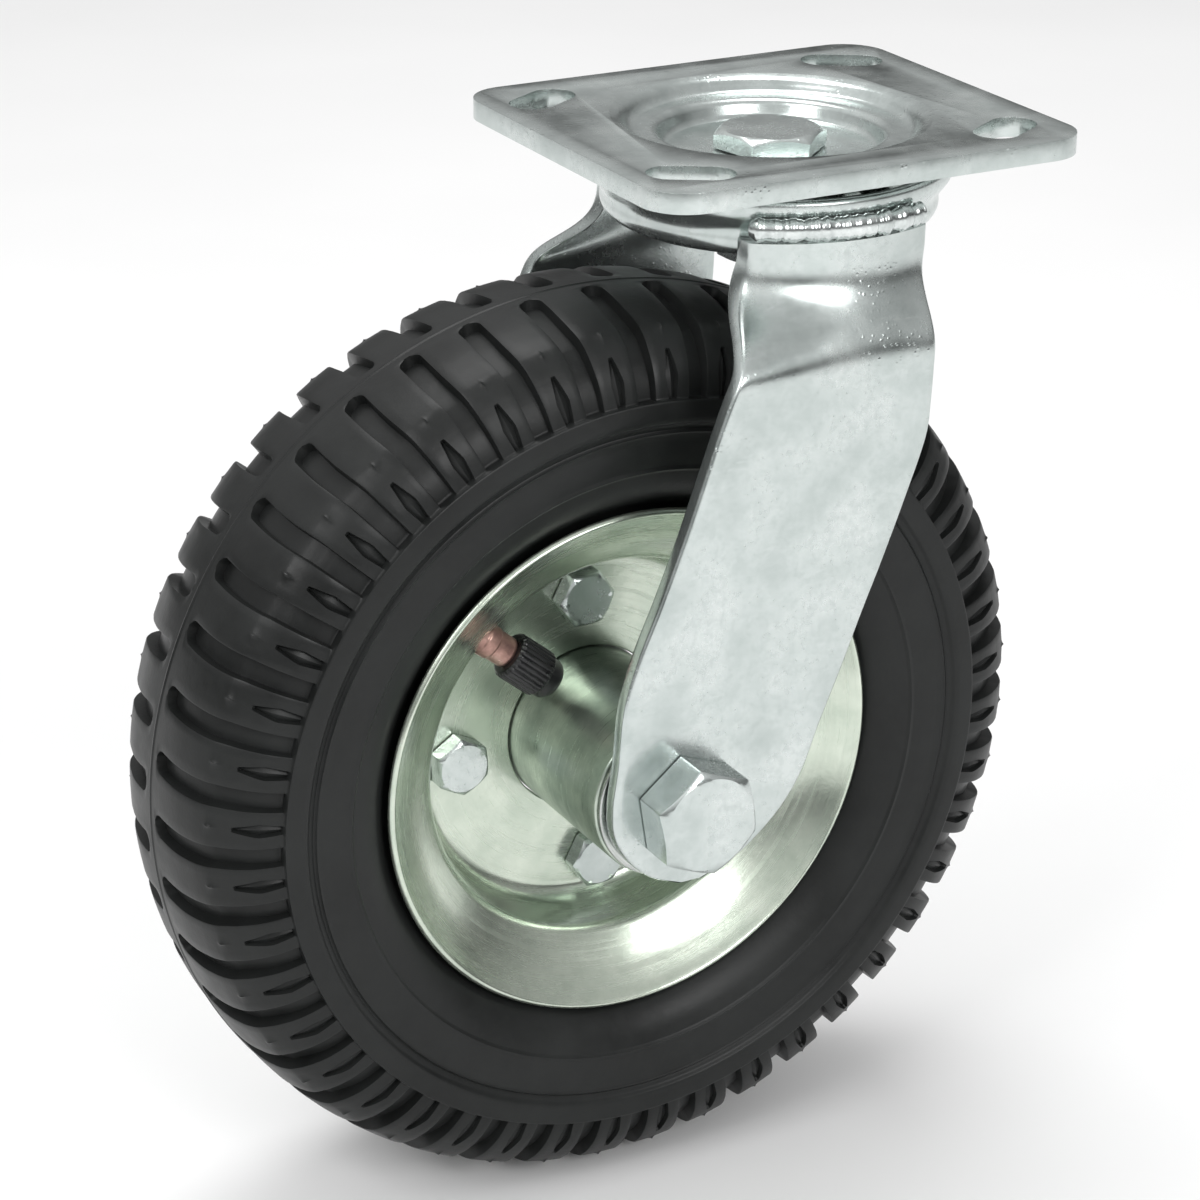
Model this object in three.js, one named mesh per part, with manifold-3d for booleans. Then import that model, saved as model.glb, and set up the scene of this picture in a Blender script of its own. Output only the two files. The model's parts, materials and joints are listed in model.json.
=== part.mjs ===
// Swivel caster with a steel top plate, a welded fork and a pneumatic wheel on a bolted
// two-piece rim. Millimetres. The origin is on the swivel axis, in the plate's top face.
// +Z points up out of the plate, and the wheel trails towards -X with its axle along Y.
import * as THREE from 'three';
import { mergeVertices } from 'three/addons/utils/BufferGeometryUtils.js';
import Module from 'manifold-3d';

const wasm = await Module();
wasm.setup();

const GAP = 0.3; // clearance between pieces that touch in the real assembly
const RIGHT_ANGLE = Math.PI / 2;

// Number of flats round a turned piece, by its size
const LARGE_TURN = 40;
const MEDIUM_TURN = 28;
const SMALL_TURN = 20;
const TINY_TURN = 10;

// Top plate
const PLATE_LENGTH = 114.3;
const PLATE_WIDTH = 101.6;
const PLATE_THICK = 4.8;
const PLATE_CORNER = 11;
const PLATE_EDGE_ROUND = 1.1;
const SLOT_WIDTH = 11.1;
const SLOT_RUN = 9.26; // distance between the centres of a slot's two round ends
const SLOT_INSET = 15.08; // from the plate's edges to a slot's centre
const SLOT_TILT = THREE.MathUtils.degToRad(31);
const DISH_RIM_R = 35.3;
const DISH_STEP = 8.5; // width of the flat ring between the dish's two steps
const DISH_STEP_DEPTH = 3.8;
const DISH_DEPTH = 8.2;
const DISH_SHEET = 4.2;
const DISH_RACE = 0.3; // extra depth of the ball track pressed under the dish

// Kingpin bolt, M16, hung from the dish
const BOLT_R = 8;
const HEX_FLATS = 24;
const KINGPIN_HEAD = 4.6;
const KINGPIN_TURN = 11.4; // degrees
const KINGPIN_NUT = 8.5;
const KINGPIN_STICKS_OUT = 2.2;
const KINGPIN_SPACER_WALL = 3.2;

// Ball races of the swivel
const UPPER_BALL_R = 3;
const UPPER_BALLS = 16;
const LOWER_BALL_R = 2;
const LOWER_PITCH_R = 17;
const LOWER_BALLS = 12;
const LOWER_RACE_THICK = 2.7;
const LOWER_RACE_WALL = 3.4;
const LOWER_CUP = 3.2; // how far the race's wall stands up round its balls

// Fork crown
const CROWN_TOP = -9;
const CROWN_R = 40.4;
const CROWN_LIP = 3.1; // how far the top lip stands out of the crown
const CROWN_LIP_HEIGHT = 3.5;
const CROWN_LIP_WALL = 3.2;
const CROWN_CONE = 4.5; // height of the taper under the lip
const CROWN_BAND = 3.2; // height of the straight band that the legs hug
const CROWN_ROUND = 3.4; // how far the bottom edge turns in, and down
const CROWN_SKIRT_WALL = 4.2;
const CROWN_FLOOR = 3;

// Fork legs: the sheet hugs the crown at the top and is flat lower down
const LEG_THICK = 4.5;
const LEG_FACE_Y = 52.6;
const LEG_TOP = 18.3;
const HUG_ENDS = 25;
const FLAT_STARTS = 46;
// Each station is depth below the plate, reach behind the swivel axis, reach in front,
// drawn for the standard axle place. The leg stretches and leans with the axle.
const DRAWN_AXLE_DEPTH = 147.4;
const DRAWN_TRAIL = 49.8;
const LEG_STATIONS = [
  [LEG_TOP, 27, 17.5],
  [24, 27.2, 17.3],
  [30, 29.2, 16],
  [37, 33.2, 15],
  [46, 38.6, 14.4],
  [57, 43.1, 13.9],
  [66, 46.3, 12.9],
  [80, 51.4, 8],
  [95, 57.4, 2.2],
  [108, 63, -3.2],
  [120, 66.6, -7.9],
  [134, 67.9, -13.8],
  [144, 69.2, -17.6],
  [152, 68.6, -22.4],
  [159, 64.8, -29.3],
  [164.2, 59, -36.8],
  [167.1, 52, -45],
];
const LEG_COLUMNS = 6;
const LEG_ROWS = 24;

// Weld beads along the tops of the legs
const BEAD_HALF_HEIGHT = 2.9;
const BEAD_HALF_WIDTH = 2.2;
const BEAD_STEPS = 12;
const BEAD_BACK = THREE.MathUtils.degToRad(127);
const BEAD_FRONT = THREE.MathUtils.degToRad(69);

// Axle
const AXLE_X = -49.8;
const AXLE_HEAD = 10.8;
const AXLE_HEAD_TURN = 9.2; // degrees
const AXLE_NUT = 13;
const AXLE_STICKS_OUT = 2.5;
const SLEEVE_WALL = 2.5;

// Hub and its flanged ball bearings
const HUB_WALL = 2.9;
const HUB_TO_LEG = 2.5;
const BEARING_DEPTH = 11.3; // how far a bearing reaches into the hub
const BEARING_OUTER_WALL = 2.3;
const BEARING_FLANGE = 1.3;
const HUB_BALL_R = 1.9;
const HUB_BALLS = 8;
const SHIELD_THICK = 0.8;

// Rim halves, back to back on the wheel's middle plane
const SHEET = 1.85;
const RIM_WEB_R = 43.6;
const RIM_BARREL_R = 46.6;
const RIM_BOLT_PITCH_R = 35.6;
const RIM_HOLE_REACH = 10;
const RIM_BOLT_START = THREE.MathUtils.degToRad(3);
const RIM_BOLTS = 4;
const RIM_BOLT_R = 4;
const RIM_BOLT_FLATS = 13;
const RIM_BOLT_HEAD = 5;
const RIM_NUT = 6.5;
const RIM_BOLT_STICKS_OUT = 2;

// Tyre and tube
const TYRE_R = 112.9;
const TYRE_HALF = 32.5;
const TYRE_POWER = 2.72;
const TYRE_TO_CROWN = 16.6; // from the crown's underside down to the tyre's highest point
const TYRE_BEAD_R = 60.1;
const TYRE_SIDE_WALL = 7.5;
const TYRE_TOP_WALL = 10.4;
const LUGS = 44;
const LUG_STEPS = 2;
const TREAD_DEPTH = 2.4;
const TREAD_SHOULDER = 11; // how far in from the tyre's radius the grooves run
const TREAD_CENTRE = 1; // half width of the plain band round the middle
const TUBE_BASE_R = 63.5;
const TUBE_WALL = 2.4;
const TUBE_POWER = 2.2;
const TUBE_SIDES = 10;

// Sizes that follow from the ones above
const SLOT_CENTRE_X = PLATE_LENGTH / 2 - SLOT_INSET;
const SLOT_CENTRE_Y = PLATE_WIDTH / 2 - SLOT_INSET;
const DISH_STEP_R = DISH_RIM_R - DISH_STEP;
const UPPER_PITCH_R = DISH_RIM_R + GAP;
const DISH_UNDERSIDE = -DISH_DEPTH - DISH_SHEET;
const UPPER_RACE_Z = -DISH_STEP_DEPTH - DISH_SHEET - DISH_RACE;
const CROWN_FLOOR_TOP = UPPER_RACE_Z - 2 * (UPPER_BALL_R + GAP);
const CROWN_FLOOR_UNDERSIDE = CROWN_FLOOR_TOP - CROWN_FLOOR;
const LOWER_RACE_TOP = CROWN_FLOOR_UNDERSIDE - 2 * (LOWER_BALL_R + GAP);
const LOWER_RACE_UNDERSIDE = LOWER_RACE_TOP - LOWER_RACE_THICK;
const KINGPIN_NUT_TOP = LOWER_RACE_UNDERSIDE - GAP;
const KINGPIN_END = KINGPIN_NUT_TOP - KINGPIN_NUT - KINGPIN_STICKS_OUT;
const KINGPIN_SPACER_R = BOLT_R + GAP + KINGPIN_SPACER_WALL;
const CROWN_LIP_R = CROWN_R + CROWN_LIP;
const CROWN_BAND_TOP = CROWN_TOP - CROWN_LIP_HEIGHT - CROWN_CONE;
const CROWN_BAND_BOTTOM = CROWN_BAND_TOP - CROWN_BAND;
const CROWN_BOTTOM = CROWN_BAND_BOTTOM - CROWN_ROUND;
const LEG_INSIDE_Y = LEG_FACE_Y - LEG_THICK;
const BEAD_PATH_R = CROWN_LIP_R + BEAD_HALF_WIDTH - 0.8;
const BEAD_Z = -LEG_TOP + GAP + BEAD_HALF_HEIGHT;
const AXLE_Z = CROWN_FLOOR_UNDERSIDE - TYRE_TO_CROWN - TYRE_R;
const SLEEVE_R = BOLT_R + GAP + SLEEVE_WALL;
const HUB_PITCH_R = SLEEVE_R + GAP + HUB_BALL_R;
const HUB_BORE_R = HUB_PITCH_R + HUB_BALL_R + BEARING_OUTER_WALL + 2 * GAP;
const HUB_R = HUB_BORE_R + HUB_WALL;
const HUB_HALF = LEG_INSIDE_Y - HUB_TO_LEG;
const BEARING_INNER_END = HUB_HALF - BEARING_DEPTH;
const BEARING_FLANGE_R = HUB_R - 0.5;
const HUB_BALL_Y = HUB_HALF - BEARING_DEPTH / 2;
const TYRE_RISE = (TYRE_R - TYRE_BEAD_R) / 2;
const TUBE_RISE = (TYRE_R - TYRE_TOP_WALL - TUBE_BASE_R) / 2;
const TUBE_HALF = TYRE_HALF - TYRE_SIDE_WALL;

// Valve
const VALVE_R = 3.85;
const VALVE_BASE_R = 47.5;
const VALVE_ANGLE = THREE.MathUtils.degToRad(134);
const VALVE_OFFSET = -13.2;
const VALVE_LEAN = THREE.MathUtils.degToRad(141);
const VALVE_OUTWARD = THREE.MathUtils.degToRad(9);
const VALVE_ROOT = 19; // length of stem outside the barrel, reaching into the tube
const VALVE_REACH = 18.4; // length of stem inside the barrel
const CAP_R = 5.9;
const CAP_LENGTH = 14.5;
const CAP_WALL_END = 2.2;

// Materials, one colour and finish per slot
const FINISHES = {
  zinc: { color: 0xc9cfd2, metalness: 0.9, roughness: 0.32 },
  weld: { color: 0xd7dbdc, metalness: 0.9, roughness: 0.25 },
  rim_zinc: { color: 0xb3bda6, metalness: 0.85, roughness: 0.34 },
  bearing_steel: { color: 0xa9adb1, metalness: 1.0, roughness: 0.2 },
  tread_rubber: { color: 0x2a2c2b, metalness: 0.0, roughness: 0.72 },
  tube_rubber: { color: 0x1d1d1e, metalness: 0.0, roughness: 0.6 },
  copper: { color: 0x9a766c, metalness: 0.8, roughness: 0.4 },
  cap_plastic: { color: 0x111212, metalness: 0.0, roughness: 0.45 },
};

// Turns a three.js geometry into a closed solid whose faces point outwards.
function toSolid(geometry) {
  const bare = geometry.index ? geometry.toNonIndexed() : geometry.clone();
  bare.deleteAttribute('normal');
  bare.deleteAttribute('uv');
  const merged = mergeVertices(bare, 1e-4);
  const points = merged.attributes.position.array;
  const index = merged.index.array;
  const triangles = [];
  for (let i = 0; i < index.length; i += 3) {
    const [a, b, c] = [index[i], index[i + 1], index[i + 2]];
    const whole = a !== b && b !== c && a !== c;
    if (whole) triangles.push(a, b, c);
  }
  if (signedVolume(points, triangles) < 0) triangles.reverse();
  const mesh = new wasm.Mesh({
    numProp: 3,
    vertProperties: new Float32Array(points),
    triVerts: new Uint32Array(triangles),
  });
  return new wasm.Manifold(mesh);
}

function signedVolume(points, triangles) {
  const corner = (i) => new THREE.Vector3().fromArray(points, 3 * triangles[i]);
  let total = 0;
  for (let i = 0; i < triangles.length; i += 3) {
    total += corner(i).dot(corner(i + 1).cross(corner(i + 2)));
  }
  return total / 6;
}

function toMesh(name, solid, finish) {
  const { numProp, vertProperties, triVerts } = solid.getMesh();
  const points = new Float32Array((vertProperties.length / numProp) * 3);
  for (let i = 0; i < points.length; i += 1) {
    points[i] = vertProperties[Math.floor(i / 3) * numProp + (i % 3)];
  }
  const geometry = new THREE.BufferGeometry();
  geometry.setAttribute('position', new THREE.BufferAttribute(points, 3));
  geometry.setIndex(Array.from(triVerts));
  geometry.computeVertexNormals();
  const material = new THREE.MeshStandardMaterial({ name: finish, ...FINISHES[finish] });
  const mesh = new THREE.Mesh(geometry, material);
  mesh.name = name;
  return mesh;
}

// Revolves a closed profile of [radius, height] points about the Y axis.
function turnedGeometry(profile, segments) {
  const points = profile.map(([r, h]) => new THREE.Vector2(r, h));
  return new THREE.LatheGeometry([...points, points[0].clone()], segments);
}

function turnedAboutY(profile, segments) {
  return toSolid(turnedGeometry(profile, segments));
}

function turnedAboutZ(profile, segments) {
  return toSolid(turnedGeometry(profile, segments).rotateX(RIGHT_ANGLE));
}

// A plain ring or tube between two radii and two heights.
function ringProfile(inner, outer, low, high) {
  return [[inner, low], [outer, low], [outer, high], [inner, high]];
}

function shiftToAxle(solid) {
  return solid.translate([AXLE_X, 0, AXLE_Z]);
}

function mirrored(profile) {
  return profile.map(([r, h]) => [r, -h]);
}

// A hexagon prism along Y with its outer corners chamfered at the end further along +Y.
function hexAlongY(flats, low, high) {
  const cornerR = flats / Math.sqrt(3);
  const prism = new THREE.CylinderGeometry(cornerR, cornerR, high - low, 6);
  prism.translate(0, (low + high) / 2, 0);
  const chamfer = cornerR - flats / 2;
  const limit = turnedAboutY([
    [0, low],
    [cornerR + 1, low],
    [cornerR + 1, high - (chamfer + 1) * 0.6],
    [flats / 2 - 0.5, high],
    [0, high],
  ], SMALL_TURN);
  return toSolid(prism).intersect(limit);
}

function cylinderAlongY(radius, low, high, segments) {
  const body = new THREE.CylinderGeometry(radius, radius, high - low, segments);
  return toSolid(body.translate(0, (low + high) / 2, 0));
}

// ---- top plate ----

function roundedRectangle(length, width, corner) {
  const x = length / 2 - corner;
  const y = width / 2 - corner;
  const shape = new THREE.Shape();
  shape.absarc(x, y, corner, 0, RIGHT_ANGLE, false);
  shape.absarc(-x, y, corner, RIGHT_ANGLE, 2 * RIGHT_ANGLE, false);
  shape.absarc(-x, -y, corner, 2 * RIGHT_ANGLE, 3 * RIGHT_ANGLE, false);
  shape.absarc(x, -y, corner, 3 * RIGHT_ANGLE, 4 * RIGHT_ANGLE, false);
  shape.closePath();
  return shape;
}

function slotPath(centreX, centreY, tilt) {
  const runX = (Math.cos(tilt) * SLOT_RUN) / 2;
  const runY = (Math.sin(tilt) * SLOT_RUN) / 2;
  const r = SLOT_WIDTH / 2;
  const front = tilt + RIGHT_ANGLE;
  const back = tilt - RIGHT_ANGLE;
  const path = new THREE.Path();
  path.absarc(centreX + runX, centreY + runY, r, back, front, false);
  path.absarc(centreX - runX, centreY - runY, r, front, front + 2 * RIGHT_ANGLE, false);
  path.closePath();
  return path;
}

function plateSlab() {
  const shape = roundedRectangle(PLATE_LENGTH, PLATE_WIDTH, PLATE_CORNER);
  for (const sideX of [1, -1]) {
    for (const sideY of [1, -1]) {
      const tilt = -SLOT_TILT * sideX * sideY;
      shape.holes.push(slotPath(SLOT_CENTRE_X * sideX, SLOT_CENTRE_Y * sideY, tilt));
    }
  }
  const slab = new THREE.ExtrudeGeometry(shape, {
    depth: PLATE_THICK - 2 * PLATE_EDGE_ROUND,
    bevelThickness: PLATE_EDGE_ROUND,
    bevelSize: PLATE_EDGE_ROUND,
    bevelOffset: -PLATE_EDGE_ROUND,
    bevelSegments: 1,
    curveSegments: 5,
  });
  return toSolid(slab.translate(0, 0, PLATE_EDGE_ROUND - PLATE_THICK));
}

function buildTopPlate() {
  const blendR = DISH_RIM_R + 4.2;
  const pressed = turnedAboutZ([
    [BOLT_R + GAP, -DISH_DEPTH],
    [DISH_STEP_R - 0.6, -DISH_DEPTH],
    [DISH_STEP_R, -DISH_STEP_DEPTH - 0.8],
    [DISH_STEP_R + 0.8, -DISH_STEP_DEPTH],
    [DISH_RIM_R - 0.9, -DISH_STEP_DEPTH],
    [DISH_RIM_R, -1.2],
    [DISH_RIM_R + 1.7, 0],
    [blendR, 0],
    [blendR, -PLATE_THICK],
    [DISH_RIM_R + 2, UPPER_RACE_Z],
    [DISH_STEP_R + DISH_SHEET, UPPER_RACE_Z],
    [DISH_STEP_R + 1.8, DISH_UNDERSIDE],
    [BOLT_R + GAP, DISH_UNDERSIDE],
  ], LARGE_TURN);
  const opening = turnedAboutZ([
    [0, -PLATE_THICK - 1],
    [blendR - 1, -PLATE_THICK - 1],
    [blendR - 1, 1],
    [0, 1],
  ], LARGE_TURN);
  return plateSlab().subtract(opening).add(pressed);
}

// ---- kingpin and swivel races ----

function uprightFromY(solid) {
  return solid.rotate([90, 0, 0]);
}

function buildKingpinBolt() {
  const seat = -DISH_DEPTH + GAP;
  const head = uprightFromY(hexAlongY(HEX_FLATS, seat, seat + KINGPIN_HEAD));
  const shank = turnedAboutZ([
    [0, KINGPIN_END],
    [BOLT_R - 1, KINGPIN_END],
    [BOLT_R, KINGPIN_END + 1],
    [BOLT_R, seat + 1],
    [0, seat + 1],
  ], SMALL_TURN);
  return head.rotate([0, 0, KINGPIN_TURN]).add(shank);
}

function buildKingpinNut() {
  const nut = hexAlongY(HEX_FLATS, -KINGPIN_NUT, 0).subtract(
    cylinderAlongY(BOLT_R + GAP, -KINGPIN_NUT - 1, 1, SMALL_TURN),
  );
  return uprightFromY(nut).translate([0, 0, KINGPIN_NUT_TOP]);
}

function buildKingpinSpacer() {
  const low = LOWER_RACE_TOP + GAP;
  const high = DISH_UNDERSIDE - GAP;
  return turnedAboutZ(ringProfile(BOLT_R + GAP, KINGPIN_SPACER_R, low, high), SMALL_TURN);
}

function buildLowerRace() {
  const outer = LOWER_PITCH_R + LOWER_BALL_R + 2 * GAP + LOWER_RACE_WALL + 0.5;
  const inner = outer - LOWER_RACE_WALL;
  const lip = LOWER_RACE_TOP + LOWER_CUP;
  return turnedAboutZ([
    [BOLT_R + GAP, LOWER_RACE_UNDERSIDE],
    [outer - 2.6, LOWER_RACE_UNDERSIDE],
    [outer, LOWER_RACE_UNDERSIDE + 2.2],
    [outer, lip - 0.5],
    [outer - 0.5, lip],
    [inner + 1.2, lip],
    [inner, LOWER_RACE_TOP],
    [BOLT_R + GAP, LOWER_RACE_TOP],
  ], MEDIUM_TURN);
}

// Balls joined by the thin cage that spaces them. The ring lies in the plane y = 0.
function ballRing(count, ballR, pitchR, cageHeight) {
  const cage = ballR * 0.4;
  let ring = turnedAboutY(
    ringProfile(pitchR - cage, pitchR + cage, -cageHeight / 2, cageHeight / 2),
    count,
  );
  for (let i = 0; i < count; i += 1) {
    const angle = (2 * Math.PI * i) / count;
    const ball = new THREE.SphereGeometry(ballR, 6, 4);
    ball.translate(pitchR * Math.cos(angle), 0, pitchR * Math.sin(angle));
    ring = ring.add(toSolid(ball));
  }
  return ring;
}

function buildUpperBallRing() {
  const ring = uprightFromY(ballRing(UPPER_BALLS, UPPER_BALL_R, UPPER_PITCH_R, 1.6));
  return ring.translate([0, 0, CROWN_FLOOR_TOP + GAP + UPPER_BALL_R]);
}

function buildLowerBallRing() {
  const ring = uprightFromY(ballRing(LOWER_BALLS, LOWER_BALL_R, LOWER_PITCH_R, 1.4));
  return ring.translate([0, 0, LOWER_RACE_TOP + GAP + LOWER_BALL_R]);
}

// ---- fork ----

function buildCrown() {
  const lipInside = CROWN_LIP_R - CROWN_LIP_WALL;
  const skirtInside = CROWN_R - CROWN_SKIRT_WALL;
  return turnedAboutZ([
    [KINGPIN_SPACER_R + 1, CROWN_FLOOR_TOP],
    [lipInside - 3, CROWN_FLOOR_TOP],
    [lipInside, CROWN_FLOOR_TOP + 2.2],
    [lipInside, CROWN_TOP],
    [CROWN_LIP_R - 0.6, CROWN_TOP],
    [CROWN_LIP_R, CROWN_TOP - 0.6],
    [CROWN_LIP_R, CROWN_TOP - CROWN_LIP_HEIGHT],
    [CROWN_R, CROWN_BAND_TOP],
    [CROWN_R, CROWN_BAND_BOTTOM],
    [CROWN_R - CROWN_ROUND / 3, CROWN_BAND_BOTTOM - CROWN_ROUND * 0.6],
    [CROWN_R - CROWN_ROUND, CROWN_BOTTOM],
    [skirtInside - 1.3, CROWN_BOTTOM],
    [skirtInside, CROWN_BAND_BOTTOM],
    [skirtInside, CROWN_FLOOR_UNDERSIDE - 1.3],
    [skirtInside - 1.3, CROWN_FLOOR_UNDERSIDE],
    [KINGPIN_SPACER_R + 1, CROWN_FLOOR_UNDERSIDE],
  ], LARGE_TURN);
}

function easeStep(start, end, value) {
  const t = THREE.MathUtils.clamp((value - start) / (end - start), 0, 1);
  return t * t * (3 - 2 * t);
}

// Distance of the leg's face from the middle plane, at one point of its outline.
function legFace(x, depth, crownR, flatY) {
  const hug = Math.sqrt(Math.max(crownR * crownR - x * x, 0));
  return THREE.MathUtils.lerp(hug, flatY, easeStep(HUG_ENDS, FLAT_STARTS, depth));
}

// One edge of the leg, a smooth curve of [x, depth] through the stations. direction is -1
// for the back edge and 1 for the front.
function legEdge(column, direction) {
  const stretch = (-AXLE_Z - FLAT_STARTS) / (DRAWN_AXLE_DEPTH - FLAT_STARTS);
  const lean = (AXLE_X + DRAWN_TRAIL) / (DRAWN_AXLE_DEPTH - FLAT_STARTS);
  const points = LEG_STATIONS.map((station) => {
    const below = Math.max(station[0] - FLAT_STARTS, 0);
    const x = direction * station[column] + below * lean;
    return new THREE.Vector3(x, station[0] + below * (stretch - 1), 0);
  });
  return new THREE.CatmullRomCurve3(points, false, 'centripetal');
}

function legSheet(side) {
  const backEdge = legEdge(1, -1);
  const frontEdge = legEdge(2, 1);
  const sheet = new THREE.BoxGeometry(1, 1, 1, LEG_COLUMNS, 1, LEG_ROWS);
  const points = sheet.attributes.position;
  for (let i = 0; i < points.count; i += 1) {
    const across = points.getX(i) + 0.5;
    const outside = points.getY(i) * side > 0;
    const down = THREE.MathUtils.clamp(0.5 - points.getZ(i), 0, 1);
    const back = backEdge.getPoint(down);
    const front = frontEdge.getPoint(down);
    const x = THREE.MathUtils.lerp(back.x, front.x, across);
    const depth = THREE.MathUtils.lerp(back.y, front.y, across);
    const crownR = CROWN_R + GAP + (outside ? LEG_THICK : 0);
    const flatY = outside ? LEG_FACE_Y : LEG_INSIDE_Y;
    points.setXYZ(i, x, side * legFace(x, depth, crownR, flatY), -depth);
  }
  return toSolid(sheet);
}

function buildLeg(side) {
  const reach = LEG_FACE_Y + LEG_THICK;
  const hole = cylinderAlongY(BOLT_R + GAP, -reach, reach, SMALL_TURN);
  return legSheet(side).subtract(shiftToAxle(hole));
}

class ArcPath extends THREE.Curve {
  constructor(radius, start, end, z) {
    super();
    Object.assign(this, { radius, start, end, z });
  }

  getPoint(t, target = new THREE.Vector3()) {
    const angle = THREE.MathUtils.lerp(this.start, this.end, t);
    return target.set(this.radius * Math.cos(angle), this.radius * Math.sin(angle), this.z);
  }
}

function buildWeldBead(side) {
  const section = new THREE.Shape();
  section.absellipse(0, 0, BEAD_HALF_HEIGHT, BEAD_HALF_WIDTH, 0, 4 * RIGHT_ANGLE, false);
  const path = new ArcPath(BEAD_PATH_R, side * BEAD_BACK, side * BEAD_FRONT, BEAD_Z);
  return toSolid(new THREE.ExtrudeGeometry(section, {
    steps: BEAD_STEPS,
    curveSegments: 5,
    extrudePath: path,
  }));
}

// ---- axle and hub bearings, built along Y through the axle ----

const HEAD_SEAT = LEG_FACE_Y + GAP;
const AXLE_END = HEAD_SEAT + AXLE_NUT + AXLE_STICKS_OUT;

function buildAxleBolt() {
  const head = hexAlongY(HEX_FLATS, HEAD_SEAT, HEAD_SEAT + AXLE_HEAD)
    .rotate([180, 0, 0])
    .rotate([0, -AXLE_HEAD_TURN, 0]);
  const shank = turnedAboutY([
    [0, -HEAD_SEAT - 1],
    [BOLT_R, -HEAD_SEAT - 1],
    [BOLT_R, AXLE_END - 1],
    [BOLT_R - 1, AXLE_END],
    [0, AXLE_END],
  ], SMALL_TURN);
  return shiftToAxle(head.add(shank));
}

function buildAxleNut() {
  const nut = hexAlongY(HEX_FLATS, HEAD_SEAT, HEAD_SEAT + AXLE_NUT);
  const hole = cylinderAlongY(BOLT_R + GAP, HEAD_SEAT - 1, HEAD_SEAT + AXLE_NUT + 1, SMALL_TURN);
  return shiftToAxle(nut.subtract(hole));
}

function buildAxleSleeve() {
  const half = BEARING_INNER_END - GAP;
  return shiftToAxle(turnedAboutY(ringProfile(BOLT_R + GAP, SLEEVE_R, -half, half), SMALL_TURN));
}

// Revolves a profile drawn for the +Y side, on the side asked for.
function turnedOnSide(side, profile, segments) {
  return shiftToAxle(turnedAboutY(side > 0 ? profile : mirrored(profile), segments));
}

function buildInnerRace(side) {
  const end = LEG_INSIDE_Y - GAP;
  const profile = ringProfile(BOLT_R + GAP, SLEEVE_R, BEARING_INNER_END, end);
  return turnedOnSide(side, profile, SMALL_TURN);
}

function buildOuterRace(side) {
  const bore = HUB_PITCH_R + HUB_BALL_R + GAP;
  const seat = HUB_BORE_R - GAP;
  const flangeStart = HUB_HALF + GAP;
  return turnedOnSide(side, [
    [bore, BEARING_INNER_END],
    [seat, BEARING_INNER_END],
    [seat, flangeStart],
    [BEARING_FLANGE_R, flangeStart],
    [BEARING_FLANGE_R, flangeStart + BEARING_FLANGE - 0.3],
    [BEARING_FLANGE_R - 0.3, flangeStart + BEARING_FLANGE],
    [bore, flangeStart + BEARING_FLANGE],
  ], MEDIUM_TURN);
}

function buildShield(side) {
  const outer = HUB_PITCH_R + HUB_BALL_R;
  const low = HUB_HALF + GAP;
  const profile = ringProfile(SLEEVE_R + GAP, outer, low, low + SHIELD_THICK);
  return turnedOnSide(side, profile, SMALL_TURN);
}

function buildHubBalls(side) {
  const ring = ballRing(HUB_BALLS, HUB_BALL_R, HUB_PITCH_R, 1.4);
  return shiftToAxle(ring.translate([0, side * HUB_BALL_Y, 0]));
}

function buildHubTube() {
  return shiftToAxle(turnedAboutY([
    [HUB_BORE_R, -HUB_HALF],
    [HUB_R - 0.5, -HUB_HALF],
    [HUB_R, -HUB_HALF + 0.5],
    [HUB_R, HUB_HALF - 0.5],
    [HUB_R - 0.5, HUB_HALF],
    [HUB_BORE_R, HUB_HALF],
  ], MEDIUM_TURN));
}

// ---- rim ----

// Visible side of one rim half, from the hub hole to the flange lip.
const RIM_VISIBLE = [
  [HUB_R + GAP, SHEET + GAP / 2],
  [RIM_WEB_R, SHEET + GAP / 2],
  [RIM_WEB_R + 2.1, 3.2],
  [RIM_BARREL_R, 5.2],
  [48.3, 15.6],
  [51.6, 17.8],
  [56.2, 20.7],
  [61.6, 25.6],
  [63.9, 28],
];
const RIM_HIDDEN = [
  [65.2, 26.7],
  [62.9, 24.3],
  [57.4, 19.3],
  [53, 16.5],
  [50.1, 14.8],
  [48.4, 5],
  [46.9, 1.8],
  [44.6, GAP / 2],
  [HUB_R + GAP, GAP / 2],
];

function rimBoltPlaces() {
  const places = [];
  for (let i = 0; i < RIM_BOLTS; i += 1) {
    const angle = RIM_BOLT_START + (2 * Math.PI * i) / RIM_BOLTS;
    places.push({
      angle,
      x: RIM_BOLT_PITCH_R * Math.cos(angle),
      z: RIM_BOLT_PITCH_R * Math.sin(angle),
    });
  }
  return places;
}

// Places a solid built along Y on the valve's slanted axis, about the axle.
function placeOnValve(solid) {
  const leanDegrees = THREE.MathUtils.radToDeg(VALVE_LEAN);
  const outwardDegrees = THREE.MathUtils.radToDeg(VALVE_OUTWARD);
  return solid
    .rotate([0, 0, -90])
    .rotate([0, 0, outwardDegrees])
    .rotate([0, -leanDegrees, 0])
    .translate([
      VALVE_BASE_R * Math.cos(VALVE_ANGLE),
      VALVE_OFFSET,
      VALVE_BASE_R * Math.sin(VALVE_ANGLE),
    ]);
}

function valveHole(clearance) {
  return placeOnValve(cylinderAlongY(VALVE_R + clearance, -8, VALVE_ROOT + 8, TINY_TURN));
}

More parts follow.
